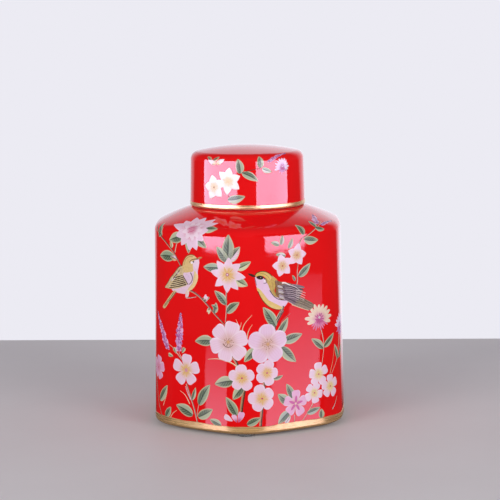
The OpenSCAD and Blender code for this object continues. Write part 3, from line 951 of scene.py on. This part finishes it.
quill([(4.4, 15.1), (1.4, 15.8), (-2.7, 14.4), (-5.8, 10.6), (-7.2, 6.5)], 0.4, "#7A5A34")
stroke("stems", near([(-3.6, -16.2), (0, -16), (5.8, -14.8)]), 1.3, "#E8BEBE", BROWN, 0.13)
marks_so_far("left bird")

# %% The bird on the right
bird = (28, 102)
plume([(9, -6.5), (10, -2.5), (15, -1.5), (22, -4.5), (28, -8.4), (27, -11), (23.5, -12.4), (16, -9.5)],
      "#94836A", "#4A3A2C", 0.09)
for i in range(3):
    quill([(11, -5.2 + 1.4 * i), (17, -6.8 + 1.7 * i), (25.4 + 0.7 * i, -11 + 1.4 * i)], 0.5, "#3A2A22",
          0.12)
quill([(9, -6.6), (16, -9.6), (23.5, -12.4)], 0.6, "#E6C9A6", 0.13)
plume([(-19.5, 15.5), (-19, 10), (-17.5, 5), (-14.5, -1), (-10, -6), (-4, -8.8), (2, -8.8), (6, -5),
       (6, -2), (0, -2), (-5, 1), (-8, 6), (-11, 12), (-14, 15)], "#E3BEDA", "#E9CDE0", 0.1)
plume([(-18.5, 8), (-16.8, 3), (-13, -3), (-7.5, -7.6), (-1, -9.6), (3, -8.8), (-3, -6.6), (-9, -3.4),
       (-13, 1), (-15.6, 6)], "#E0BC6A", "#EBD08E", 0.112)
plume([(-11, 17.8), (-6, 15.4), (-2, 11.4), (-4, 7), (-4.6, 2), (-2, -1.4), (-5, 0.4), (-8.2, 5),
       (-10, 9.4), (-12, 13)], "#C8A548", "#8A6A2E", 0.12)
plume([(-5, 12.4), (0, 10.8), (6, 9.6), (11, 7.6), (14, 4), (12, 0), (6, -2.6), (0, -2.8), (-3.6, 0.6),
       (-4, 6)], "#8A6238", "#3A2620", 0.125)
for i in range(9):
    reach = 21 - 1.1 * i
    petal("feathers", (bird[0] - 0.5 + 0.3 * i, bird[1] + 8 - 1.15 * i), 99 + 2.6 * i, reach, 2.6, "thin",
          "#5E4850" if i % 2 else "#8A747C", "#2A1A20", 0.14 + 0.008 * (i % 3), -0.12)
for i in range(7):
    petal("feathers", (bird[0] - 3 + 0.2 * i, bird[1] + 8 - 1.35 * i), 108, 6.0, 2.2, "leaf",
          ("#DAD0CC", "#8E7468", "#B9A8B4")[i % 3], DARK, 0.168)
for i in range(6):
    quill([(3 + 0.5 * i, 6.6 - 1.5 * i), (9 + 0.4 * i, 5.6 - 1.5 * i), (15.5, 2.6 - 1.4 * i)], 0.4,
          "#CDB6B8", 0.175)
    quill([(2 + 0.5 * i, 7.4 - 1.5 * i), (9 + 0.4 * i, 6.4 - 1.5 * i), (16.5, 3.2 - 1.5 * i)], 0.5,
          "#2E2024", 0.172)
quill([(1, 9.6), (4, 9.4), (8, 7.4)], 1.2, "#EFE3DF", 0.18)
quill([(7, 8), (12, 6), (16, 3)], 0.5, "#EFE3DF", 0.18)
for i in range(4):
    quill([(12, 3.5 - 1.6 * i), (17, 2.2 - 1.7 * i), (21 - 0.4 * i, 0.6 - 1.8 * i)], 0.4, "#E3D3CC", 0.18)
quill([(-8.6, 5.4), (-6, 1.4), (-2.4, -1.6), (3, -3), (9, -3)], 0.7, DARK)
quill([(-17.6, 5.2), (-14.8, -0.6), (-10.4, -5.8), (-4.4, -9.2), (1, -9.6)], 0.45, "#4A3020")
plume([(-19.4, 16), (-17.8, 18.2), (-13.5, 19), (-9.5, 17.6), (-6.6, 14.4), (-8, 11.6), (-10.5, 13.6),
       (-14, 16), (-17, 16)], "#D3B050", "#E0C77A", 0.14)
quill([(-19.6, 16.4), (-17.8, 18.4), (-13.4, 19.2), (-9, 17.6), (-6, 14.4)], 0.5, "#3A2A1C")
quill([(-16, 17.4), (-12.6, 17.2), (-9.6, 15), (-8.4, 12.4)], 0.4, "#6A4A24")
blob("hearts", bird, [(-18.6, 15), (-16.6, 16.4), (-14, 15.8), (-12.8, 14.2), (-14.6, 13.2), (-17, 13.6)],
     DARK, DARK, 0.165)
disc("hearts", spot(-15.4, 14.8), 0.35, "#C9C0B0", WHITE, 0.18)
quill([(-13.2, 13.4), (-11.6, 13.6), (-10.6, 12), (-11.6, 10.4), (-13.6, 10.4)], 0.7, "#6B4A5E")
disc("hearts", spot(-12.4, 12), 0.9, WHITE, WHITE, 0.165)
petal("hearts", spot(-19, 15.4), -66, 6.6, 1.9, "leaf", "#4A2A22", DARK, 0.15)
quill([(-19.8, 14.6), (-19.2, 12.6), (-18.4, 9)], 0.4, DARK)
stroke("stems", near([(2, -6.8), (1, -9.6), (-2, -14), (-4.4, -17.6)]), 2.6, "#C9B9A6", DARK, 0.13, 0.5)
quill([(0.6, -9), (-1.6, -13), (-4, -17.4)], 0.5, DARK)
marks_so_far("right bird")

# %% The middle branch and the two big blossoms
twig([(30, 92), (26, 86), (23, 80), (22, 72)], 2.6, BARK, DARK, 0.9)
stroke("stems", [(27, 80), (30, 85), (36, 89)], 0.9, "#D98A86", BROWN, 0.07, 0.3)
grass([(-2, 75), (0, 83), (6, 90)], 0.9)
grass([(2, 73), (3, 78), (6, 83)], 0.9)
grass([(-4, 80), (-4.4, 83), (-6, 87)], 0.8)
grass([(-4, 79), (-2.6, 82), (-2, 85)], 0.7)
twig([(-12, 62), (-7, 57), (-4, 50), (-2, 42)], 2.6, BARK, DARK, 0.9)
grass([(-4, 51), (-10, 55), (-20, 57), (-29, 56)], 1.4)
leaves((24, 80, -33, 17, 7.5, 0.1), (25, 73, 33, 15, 5.8, 0.15), (29, 69, 76, 16, 7, 0.1),
       (28, 65, 135, 16, 7.5, 0.15), (9, 66, -138, 13, 6.4, 0.1), (-24, 70, -96, 15, 7.6, 0.1, "#A6AE90"))
blossom((-12, 70), 31, 6, 15)
blossom((17.5, 68), 30, 5, 0, "#E6C4DC", "broad")
stroke("hearts", [(-16.5, 69), (-14, 66.6), (-10.5, 66.4), (-8, 68.4)], 0.9, BROWN, DARK, 0.17)
marks_so_far("middle")

# %% Below the blossoms: star flowers, trunks and their leaves
twig([(0, 38), (-1, 32), (-2, 26), (-3, 18)], 3.0, TRUNK, DARK, 0.9)
twig([(14, 44), (14, 32), (12, 18), (11, 8)], 2.8, BARK, DARK, 0.9)
leaves((-8, 42, -104, 15, 8, 0.1), (-1, 38, -142, 12, 6.6, 0.1), (-6, 16, -32, 15, 6.8, 0.1),
       (-18, 8, -70, 10, 5, 0.1, "#B9BEA6"), (1, 9.5, 64, 11, 5.5, 0.1), (21, 42, 75, 8, 3))
flower((-2, 44), 20, 5, 0, "broad", PINK, GOLD_HEART, MAGENTA, 0.95)
flower((16.5, 47), 19, 5, 20, "broad", PINK, GOLD_HEART, MAGENTA, 0.95)
flower((12.5, 28.5), 21, 5, -10, "broad", PINK, GOLD_HEART, MAGENTA, 0.95)
petal("petals", (-5, 11), 20, 9, 5, "round", "#E3A8D0", MAGENTA, 0.1)
petal("petals", (-6, 11), -25, 7, 4, "round", "#E9B9D8", MAGENTA, 0.11)
petal("petals", (-9, 12), -62, 8, 4.5, "round", PINK, PINK, 0.1)
marks_so_far("below the blossoms")

# %% Lower left: spikes, the left blossom and the flower at the side
twig([(-48, 50), (-54, 55), (-60, 61), (-66, 64)], 1.2)
twig([(-50, 52), (-54, 57), (-55, 61)], 1.0)
stroke("stems", [(-48, 36), (-44, 26), (-41, 18), (-38, 7)], 1.6, STEM, BROWN, 0.06, 0.8)
twig([(-39, 12), (-38, 18), (-37, 22)], 0.9)
stroke("stems", [(-44, 24), (-47, 29), (-49, 34)], 1.4, PINK, BROWN, 0.07, 0.5)
grass([(-45, 21), (-49, 27), (-54, 30)], 0.9)
twig([(-84, 38), (-80, 20), (-76, 12), (-73, 8)], 1.3)
grass([(-64, 8), (-61, 12), (-57, 15)], 0.9)
grass([(-72, 16), (-69, 22), (-67, 27)], 0.7)
spike([(-66, 60), (-72, 72), (-80, 86)], 6.2)
spike([(-55, 60), (-54, 74), (-52.5, 88)], 6.6)
for place, angle in (((-57, 57), -30), ((-60, 55), -80), ((-52, 58), 30)):
    petal("leaves", place, angle, 5.5, 3.4, "round", "#C9CBA8", GREEN, 0.09)
flower((-48, 46), 24.5, 5, 5, "round", PINK, GOLD_HEART, None, 0.82)
disc("hearts", (-48, 46), 1.9, "#D9A0A8", MAGENTA, 0.17)
leaves((-37, 21, 31, 18, 7.4, -0.15), (-42, 13, -70, 16, 8, 0.15), (-38, 12, 60, 14, 7, 0.1),
       (-43, 24, 18, 10, 3.4, 0.1, "#B9BEA6"))
flower((-79, 44), 19, 5, 10, "round", "#E3A6C8", "#D98AA8", MAGENTA, 0.9)
leaves((-77, 19, 38, 16, 6.6, 0.15), (-69, 8, 35, 10, 5.5, 0.1))
marks_so_far("lower left")

# %% Lower right: magenta flower, the right cluster and the asters
twig([(38, 14), (38, 10), (37, 7)], 1.1)
twig([(56, 30), (54, 21), (49, 14), (44, 8)], 1.4)
stroke("stems", [(72, 13), (76, 17), (79, 22)], 1.2, WHITE, GREEN, 0.07, 0.3)
twig([(61, 78), (64, 67), (64, 58), (62, 48)], 1.2)
twig([(86, 70), (83, 58), (80, 50), (72, 40)], 1.2)
stroke("stems", [(70, 40), (74, 50), (76, 60)], 0.8, "#E08A70", TAN, 0.06, 0.4)
leaves((37, 26, -25, 12, 5.5, 0.1), (34, 22, -48, 12, 6.8, 0.1), (34, 17, -132, 12, 6.4, 0.1, "#AAB5AE"),
       (30, 8, 40, 7, 3.4, 0.1, WHITE, PINK))
flower((39, 22), 20, 5, 5, "round", "#E6AED0", "#E8B0B4", "#F0DCC8", 0.86)
for i in range(5):
    petal("hearts", (39, 22), 72 * i + 5, 6.6, 2.8, "leaf", "#C9569A", "#D77FB0", 0.155)
flower((59, 41.5), 18, 5, -5, "round", "#ECCFE0", "#E9D08C", MAGENTA, 0.86)
flower((55, 28), 16.5, 5, 25, "round", "#ECCFE0", "#E9D08C", MAGENTA, 0.86)
flower((70, 31), 18, 5, 0, "round", "#ECCFE0", "#E9D08C", MAGENTA, 0.86)
leaves((48, 13.5, 76, 12, 4.6, 0.1, "#B3BDB4"), (61, 8, 0, 7, 5, 0.1), (64, 60, -52, 13, 5.4, 0.15),
       (64, 61, 52, 14, 5.2, 0.15), (82, 49, -25, 13, 4.4, 0.1), (83, 50, 40, 12, 4.4, 0.1))
aster((60.5, 82.5), 22, "#EBD2B8", "#D878A4")
aster((88, 73), 19, "#E6C6E2", "#B978B8", 30)
marks_so_far("lower right")

# %% The side of the cap
canvas = "cap"
twig([(-12, 12), (-11, 8)], 0.8, DARK, DARK)
twig([(-2, 28), (6, 30), (12, 31)], 0.7, BROWN, DARK)
flower((-12, 22), 20, 6, 10, "pointed", "#F7F0EE", "#E8CFA0", None, 1.0)
flower((-24, 17), 18, 5, -10, "pointed", "#F7F0EE", "#E8CFA0", "#A9784A", 1.05)
leaves((-13, 8, 78, 13, 6, 0.2, "#C9CFC0", DEEP_GREEN), (-3, 27, -10, 11, 6, 0.2),
       (-2, 28, 118, 13, 5.5, -0.2), (12, 31, -5, 9, 5, 0.2), (13, 31, 110, 8, 4, 0.2, "#D6D5CE", GREEN),
       (-26, 36, -55, 6, 3, 0.2, TAN, BROWN), (-25, 36, 50, 6, 3, 0.2, TAN, BROWN))
petal("petals", (-22, 34), -70, 8, 4, "pointed", WHITE, GOLD_HEART, 0.1)
petal("petals", (-22, 34), 60, 8, 4, "pointed", WHITE, GOLD_HEART, 0.1)
aster((30, 31), 13, "#E8CDE4", "#C98BC4")
spike([(19, 36), (27, 40), (36, 42)], 5, "#C77FB0", PURPLE)
print("marks", {key: len(value) for key, value in marks.items()})

# %% [markdown]
# ## Enamel materials
# The enamels are soft lead-free glass colours. They melt to a satin gloss, slightly rougher than the
# glaze. Petals carry a warm heart and fine veins, leaves a dark midrib and pale edge, stems a shadow
# side, and feathers dark shafts. All read the mark's own map, so the drawing follows each mark.

# %% Shared start of an enamel
ENAMEL_DEPTH = 0.0001
SMOOTH = {"interpolation_type": "SMOOTHSTEP"}


def start_enamel(name):
    """Nodes every enamel needs: the object's place, the mark's two colours, and its across and along."""
    material, tree = new_material(name)
    place = add(tree, "TexCoord").outputs["Object"]
    tint = add(tree, "Attribute", attribute_name="tint")
    heart = add(tree, "Attribute", attribute_name="heart")
    uv = add(tree, "SeparateXYZ", {0: add(tree, "UVMap", uv_map="paint")})
    off_middle = add(tree, "Math", {0: uv, 1: 0.5}, operation="SUBTRACT")
    off = add(tree, "Math", {0: off_middle}, operation="ABSOLUTE")
    return material, tree, place, tint, heart, uv.outputs[0], uv.outputs[1], off


def waves(tree, first, pitch, second, slant):
    """A sine of two maps, each times its own number, for veins and barbs that run at a slant."""
    slanted = add(tree, "Math", {0: second, 1: slant, 2: 0.0}, operation="MULTIPLY_ADD")
    both = add(tree, "Math", {0: first, 1: pitch, 2: slanted}, operation="MULTIPLY_ADD")
    return add(tree, "Math", {0: both}, operation="SINE")

# %% Petal and leaf enamels
petal_enamel, tree, place, tint, heart, across, along, off = start_enamel("petal_enamel")
base = wash(tree, tint, along, heart, 0.16, 0.6, 0.9, 0.0, **SMOOTH)
line = add(tree, "MapRange", {0: waves(tree, across, 44.0, off, 0.0), 1: 0.55, 2: 1.0, 3: 0.0, 4: 0.30})
fade = add(tree, "MapRange", {0: along, 1: 0.35, 2: 0.95, 3: 1.0, 4: 0.1})
vein = add(tree, "Math", {0: line, 1: fade}, operation="MULTIPLY")
veined = add(tree, "Mix", {0: vein, 6: base, 7: "#C58FA6"})
pale = wash(tree, veined, off, "#F6E8F0", 0.30, 0.43, 0.0, 0.4)
edged = wash(tree, pale, off, "#B87C93", 0.44, 0.485, 0.0, 0.75)
finish_material(tree, vein, 0.8 * ENAMEL_DEPTH, 0.5, Base_Color=edged, Roughness=0.22, IOR=1.5)

leaf_enamel, tree, place, tint, heart, across, along, off = start_enamel("leaf_enamel")
halves = wash(tree, tint, across, heart, 0.4, 0.6, 0.88, 0.0, **SMOOTH)
base = wash(tree, halves, along, "#C4C3A0", 0.55, 1.0, 0.0, 0.8, **SMOOTH)
line = add(tree, "MapRange", {0: waves(tree, along, 46.0, off, -26.0), 1: 0.4, 2: 1.0, 3: 0.0, 4: 0.5})
veined = add(tree, "Mix", {0: line, 6: base, 7: "#A9B596"})
ribbed = wash(tree, veined, off, "#2F3B30", 0.03, 0.09, 0.85, 0.0)
pale = wash(tree, ribbed, off, "#D6CCA6", 0.33, 0.4, 0.0, 0.7)
edged = wash(tree, pale, off, "#5A3A2C", 0.45, 0.48, 0.0, 0.6)
finish_material(tree, line, 0.8 * ENAMEL_DEPTH, 0.5, Base_Color=edged, Roughness=0.24, IOR=1.5)
print(petal_enamel.name, leaf_enamel.name)

# %% Stem and heart enamels
stem_enamel, tree, place, tint, heart, across, along, off = start_enamel("stem_enamel")
bark = add(tree, "TexNoise", {"Vector": place, "Scale": 900.0, "Detail": 3.0})
under = add(tree, "Math", {0: bark, 1: 0.5, 2: across}, operation="MULTIPLY_ADD")
base = wash(tree, tint, under, heart, 0.62, 0.95, 0.0, 0.95)
finish_material(tree, bark, ENAMEL_DEPTH, 0.5, Base_Color=base, Roughness=0.26, IOR=1.5)

heart_enamel, tree, place, tint, heart, across, along, off = start_enamel("heart_enamel")
grains = add(tree, "TexNoise", {"Vector": place, "Scale": 1600.0, "Detail": 2.0})
base = wash(tree, tint, grains, heart, 0.45, 0.7, 0.0, 0.6)
finish_material(tree, grains, ENAMEL_DEPTH, 0.5, Base_Color=base, Roughness=0.24, IOR=1.5)
print(stem_enamel.name, heart_enamel.name)

# %% Feather and plumage enamels
feather_enamel, tree, place, tint, heart, across, along, off = start_enamel("feather_enamel")
line = add(tree, "MapRange", {0: waves(tree, along, 60.0, off, -30.0), 1: 0.2, 2: 1.0, 3: 0.0, 4: 0.35})
base = add(tree, "Mix", {0: line, 6: tint, 7: heart})
shafted = wash(tree, base, off, heart, 0.03, 0.1, 0.7, 0.0)
edged = wash(tree, shafted, across, "#E4D8C6", 0.78, 0.9, 0.0, 0.8)
finish_material(tree, line, ENAMEL_DEPTH, 0.5, Base_Color=edged, Roughness=0.25, IOR=1.5)

plumage_enamel, tree, place, tint, heart, across, along, off = start_enamel("plumage_enamel")
down = add(tree, "TexNoise", {"Vector": place, "Scale": 700.0, "Detail": 4.0, "Roughness": 0.65})
base = wash(tree, tint, down, heart, 0.4, 0.65, 0.0, 0.55)
flecked = wash(tree, base, down, "#7A5B45", 0.62, 0.72, 0.0, 0.4)
finish_material(tree, down, ENAMEL_DEPTH, 0.5, Base_Color=flecked, Roughness=0.25, IOR=1.5)
print(feather_enamel.name, plumage_enamel.name)

# %% Join the marks of each kind into one piece
def join_marks(where, kind, material):
    """Stacks the grids of one kind into one mesh, with its paint map and its two colours."""
    points, quads, paint, tints, hearts = [], [], [], [], []
    first = 0
    for grid, across, along, tint, heart in marks[(where, kind)]:
        rows, cols = grid.shape[:2]
        points.append(grid.reshape(-1, 3))
        quads.append(grid_faces(rows, cols, first=first))
        paint.append(np.stack([across.ravel(), along.ravel()], 1))
        tints.append(np.tile(tint, (rows * cols, 1)))
        hearts.append(np.tile(heart, (rows * cols, 1)))
        first += rows * cols
    points = np.concatenate(points)
    quads = np.concatenate(quads)
    corner = points[quads]
    facing = np.cross(corner[:, 2] - corner[:, 0], corner[:, 3] - corner[:, 1])
    centre = corner.mean(1)
    outward = centre * np.array([1, 1, 0.0])
    faces_up = 0.19 if where == "cap" else 0.14  # above this height marks begin to face upwards
    outward[:, 2] = np.maximum(centre[:, 2] - faces_up, 0)
    wrong = (facing * outward).sum(1) < 0
    quads[wrong] = quads[wrong][:, ::-1]
    piece = make_piece(f"{where}_{kind}", points, quads, None, "jar" if where == "body" else "lid", sharp=0)
    mesh = piece.data
    loops = np.empty(len(mesh.loops), np.int32)
    mesh.loops.foreach_get("vertex_index", loops)
    layer = mesh.uv_layers.new(name="paint")
    layer.uv.foreach_set("vector", np.concatenate(paint)[loops].astype(np.float32).ravel())
    for name, colours in (("tint", tints), ("heart", hearts)):
        attribute = mesh.attributes.new(name, "FLOAT_COLOR", "POINT")
        attribute.data.foreach_set("color", np.concatenate(colours).astype(np.float32).ravel())
    mesh.materials.append(material)
    print(piece.name, len(mesh.polygons), "faces")


ENAMELS = {"petals": petal_enamel, "leaves": leaf_enamel, "stems": stem_enamel, "hearts": heart_enamel,
           "feathers": feather_enamel, "plumage": plumage_enamel}
for where, kind in sorted(marks):
    join_marks(where, kind, ENAMELS[kind])

# %% [markdown]
# ## Floor, lamps and camera
# The jar stands on a plain pale board in front of a plain pale room. Two big softboxes at the front left
# and right are what the glaze mirrors. They are curved cards that only mirrors can see, and each card
# shows only on the pieces it is for, so the body's lamps leave no false line on the shoulder. Weaker
# cards below stand for the glow of the table in the glaze and in the gold of the foot. Soft lamps give
# the even light, so the mirrored shapes and the exposure can each be set on their own.

# %% Floor
def stage_card(name, points, material, rows, cols):
    """A stage surface from a grid of points."""
    mesh = bpy.data.meshes.new(name)
    mesh.from_pydata(points.reshape(-1, 3).tolist(), [], grid_faces(rows, cols).tolist())
    card = bpy.data.objects.new(name, mesh)
    bpy.context.scene.collection.objects.link(card)
    card.data.materials.append(material)
    return card


floor_paint, tree = new_material("pale_floor_paint")
place = add(tree, "TexCoord").outputs["Object"]
mottle = add(tree, "TexNoise", {"Vector": place, "Scale": 9.0, "Detail": 4.0})
shade = add(tree, "Mix", {0: mottle, 6: "#DAD5D6", 7: "#E2DEDF"})
finish_material(tree, Base_Color=shade, Roughness=0.6, Specular_IOR_Level=0.2)
FLOOR_HALF = 0.295
FLOOR_STEPS = 9
reach = np.linspace(-FLOOR_HALF, FLOOR_HALF, FLOOR_STEPS)
fx, fy = np.meshgrid(reach, reach)
floor_points = np.stack([fx, fy, 0 * fx], -1)
floor_card = stage_card("pale_floor", floor_points, floor_paint, FLOOR_STEPS, FLOOR_STEPS)
floor_card.visible_glossy = False
print("floor", 2 * FLOOR_HALF, "m wide")

# %% Softboxes that the glaze mirrors
def lit_group(name, start):
    """The pieces that a softbox shows on: those whose names begin in one of the given ways."""
    group = bpy.data.collections.new(name)
    for piece in bpy.data.objects:
        if piece.name.startswith(start):
            group.objects.link(piece)
    return group


body_pieces = lit_group("body_pieces", ("glazed_body", "body_", "foot_"))
cap_pieces = lit_group("cap_pieces", ("glazed_cap", "cap_", "rim_"))
foot_band = lit_group("foot_band", ("foot_gold_band",))
CARD_STEPS = 25


def softbox(name, pieces, heights, left, right, strength, tone="#E6DAFF", distance=0.545):
    """A card on an upright cylinder: at each height it spans from its left to its right angle, in
    degrees from straight ahead of the jar. Its strength goes from its foot to its head."""
    level = np.unique(np.concatenate([heights, np.linspace(heights[0], heights[-1], CARD_STEPS)]))
    share = np.linspace(0, 1, CARD_STEPS)[None, :]
    first = np.interp(level, heights, left)[:, None]
    last = np.interp(level, heights, right)[:, None]
    angle = np.radians(first + (last - first) * share)
    z = level[:, None] + 0 * angle
    points = np.stack([distance * np.sin(angle), -distance * np.cos(angle), z], -1)
    glow, tree = new_material(name + "_glow")
    up = add(tree, "SeparateXYZ", {0: add(tree, "TexCoord").outputs["Object"]}).outputs[2]
    power = add(tree, "MapRange", {0: up, 1: heights[0], 2: heights[-1], 3: strength[0], 4: strength[1]})
    light = add(tree, "Emission", {"Color": tone, "Strength": power})
    add(tree, "OutputMaterial", {"Surface": light})
    card = stage_card(name, points, glow, len(level), CARD_STEPS)
    card.visible_camera = False
    card.visible_diffuse = False
    card.visible_shadow = False
    card.visible_transmission = False
    card.light_linking.receiver_collection = pieces


softbox("body_box_left", body_pieces, [0.080, 0.083, 0.090, 0.14], [-55, -57, -57, -55],
        [-39, -37, -37, -38], (11, 14))
softbox("body_box_right", body_pieces, [0.079, 0.081, 0.084, 0.14], [45, 41.5, 41.5, 39], [50, 60, 62, 63],
        (9, 13))
cap_heights = [0.124, 0.130, 0.333, 0.345]
softbox("cap_box_left", cap_pieces, cap_heights, [-88, -91, -91, -86], [-20, -17, -17, -20], (12, 12))
softbox("cap_box_right", cap_pieces, cap_heights, [23, 19.5, 19.5, 23], [84, 87, 87, 82], (11, 11))
softbox("foot_glow", foot_band, [-0.3, -0.2, -0.02], [-75, -75, -75], [75, 75, 75], (0.5, 0.4),
        "#FFF2DC", 0.6)
softbox("table_glow_left", body_pieces, [-0.16, -0.05, -0.015], [-56, -56, -55], [-41, -41, -42], (6, 0.8))
softbox("table_glow_right", body_pieces, [-0.16, -0.09, -0.042, -0.012, 0.018, 0.053],
        [38, 40, 45, 49, 53, 57], [68, 68, 68, 69, 73, 76], (5, 0.6))
print("softboxes shine on", [group.name for group in (body_pieces, cap_pieces, foot_band)])

# %% Soft lamps for the even light
def look_matrix(place, back, roll):
    """A camera or lamp matrix: it looks against back, and its picture is turned by roll radians."""
    right = np.cross([0, 0, 1.0], back)
    right /= np.linalg.norm(right)
    up = np.cross(back, right)
    across = right * np.cos(roll) + up * np.sin(roll)
    upward = up * np.cos(roll) - right * np.sin(roll)
    turn = np.eye(4)
    turn[:3, 0] = across
    turn[:3, 1] = upward
    turn[:3, 2] = back
    turn[:3, 3] = place
    return Matrix(turn.tolist())


def lamp(name, place, size, power):
    """A square soft lamp that faces the middle of the jar and isn't mirrored by the glaze."""
    data = bpy.data.lights.new(name, "AREA")
    data.shape = "SQUARE"
    data.size = size
    data.energy = power
    light = bpy.data.objects.new(name, data)
    bpy.context.scene.collection.objects.link(light)
    place = np.array(place, float)
    back = place - np.array([0, 0, 0.1])
    light.matrix_world = look_matrix(place, back / np.linalg.norm(back), 0.0)
    light.visible_glossy = False
    light.visible_camera = False


lamp("lamp_left", (-1.3, -1.5, 0.7), 1.0, 15.5)
lamp("lamp_right", (1.4, -1.3, 0.6), 1.0, 14.5)
print("lamps", [light.name for light in bpy.data.lights])

# %% The room
room = bpy.data.worlds.new("pale_room")
bpy.context.scene.world = room
room.use_nodes = True
tree = room.node_tree
tree.nodes.clear()
way = add(tree, "SeparateXYZ", {0: add(tree, "TexCoord").outputs["Generated"]})
ray = add(tree, "LightPath")
behind = add(tree, "MapRange", {0: way.outputs[1], 1: 0.5, 2: 0.98, 3: 0.0, 4: 1.0}, **SMOOTH)
sink = add(tree, "Math", {0: behind, 1: 0.2, 2: way.outputs[2]}, operation="MULTIPLY_ADD")
above = add(tree, "MapRange", {0: sink, 1: -0.03, 2: 0.02, 3: 0.0, 4: 1.0})
wall = add(tree, "Mix", {0: behind, 6: "#54484C", 7: "#EEF4FF"})
mirrored = add(tree, "Mix", {0: above, 6: "#4A3636", 7: wall})
overhead = add(tree, "MapRange", {0: way.outputs[2], 1: 0.2, 2: 0.9, 3: 0.0, 4: 1.0})
even = add(tree, "Mix", {0: overhead, 6: "#D6D4DA", 7: "#8C8A90"})
plain = add(tree, "Mix", {0: ray.outputs["Is Glossy Ray"], 6: even, 7: mirrored})
seen = add(tree, "Mix", {0: ray.outputs["Is Camera Ray"], 6: plain, 7: "#ECEBF3"})
aside = add(tree, "MapRange", {0: way.outputs[0], 1: -0.22, 2: -0.02, 3: -0.1, 4: 0.3})
gloss = add(tree, "Math", {0: ray.outputs["Is Glossy Ray"], 1: aside, 2: 1.0}, operation="MULTIPLY_ADD")
glow = add(tree, "Background", {"Color": seen, "Strength": gloss})
add(tree, "OutputWorld", {"Surface": glow})
print("room of", len(tree.nodes), "nodes")

# %% The camera
CAMERA_TURN = np.radians(2.875)
CAMERA_RISE = np.radians(9.145)
CAMERA_DISTANCE = 1.25
AIM_UP = 0.0264
AIM_RIGHT = 0.0013
LENS_MM = 118.3
CAMERA_ROLL = np.radians(-0.736)
back = np.array([np.sin(CAMERA_TURN) * np.cos(CAMERA_RISE), -np.cos(CAMERA_TURN) * np.cos(CAMERA_RISE),
                 np.sin(CAMERA_RISE)])
right = np.array([np.cos(CAMERA_TURN), np.sin(CAMERA_TURN), 0])
up = np.cross(back, right)
middle = np.array([0, 0, 0.1])
eye = middle + back * CAMERA_DISTANCE
aim = middle + up * AIM_UP + right * AIM_RIGHT
look = (eye - aim) / np.linalg.norm(eye - aim)
camera_data = bpy.data.cameras.new("camera")
camera_data.lens = LENS_MM
camera_data.sensor_width = 36
camera_data.clip_end = 20
camera = bpy.data.objects.new("camera", camera_data)
bpy.context.scene.collection.objects.link(camera)
camera.matrix_world = look_matrix(eye, look, CAMERA_ROLL)
bpy.context.scene.camera = camera
bpy.context.scene.view_settings.view_transform = "Standard"
print("camera at", eye.round(3))

# %% The end
print("the end")
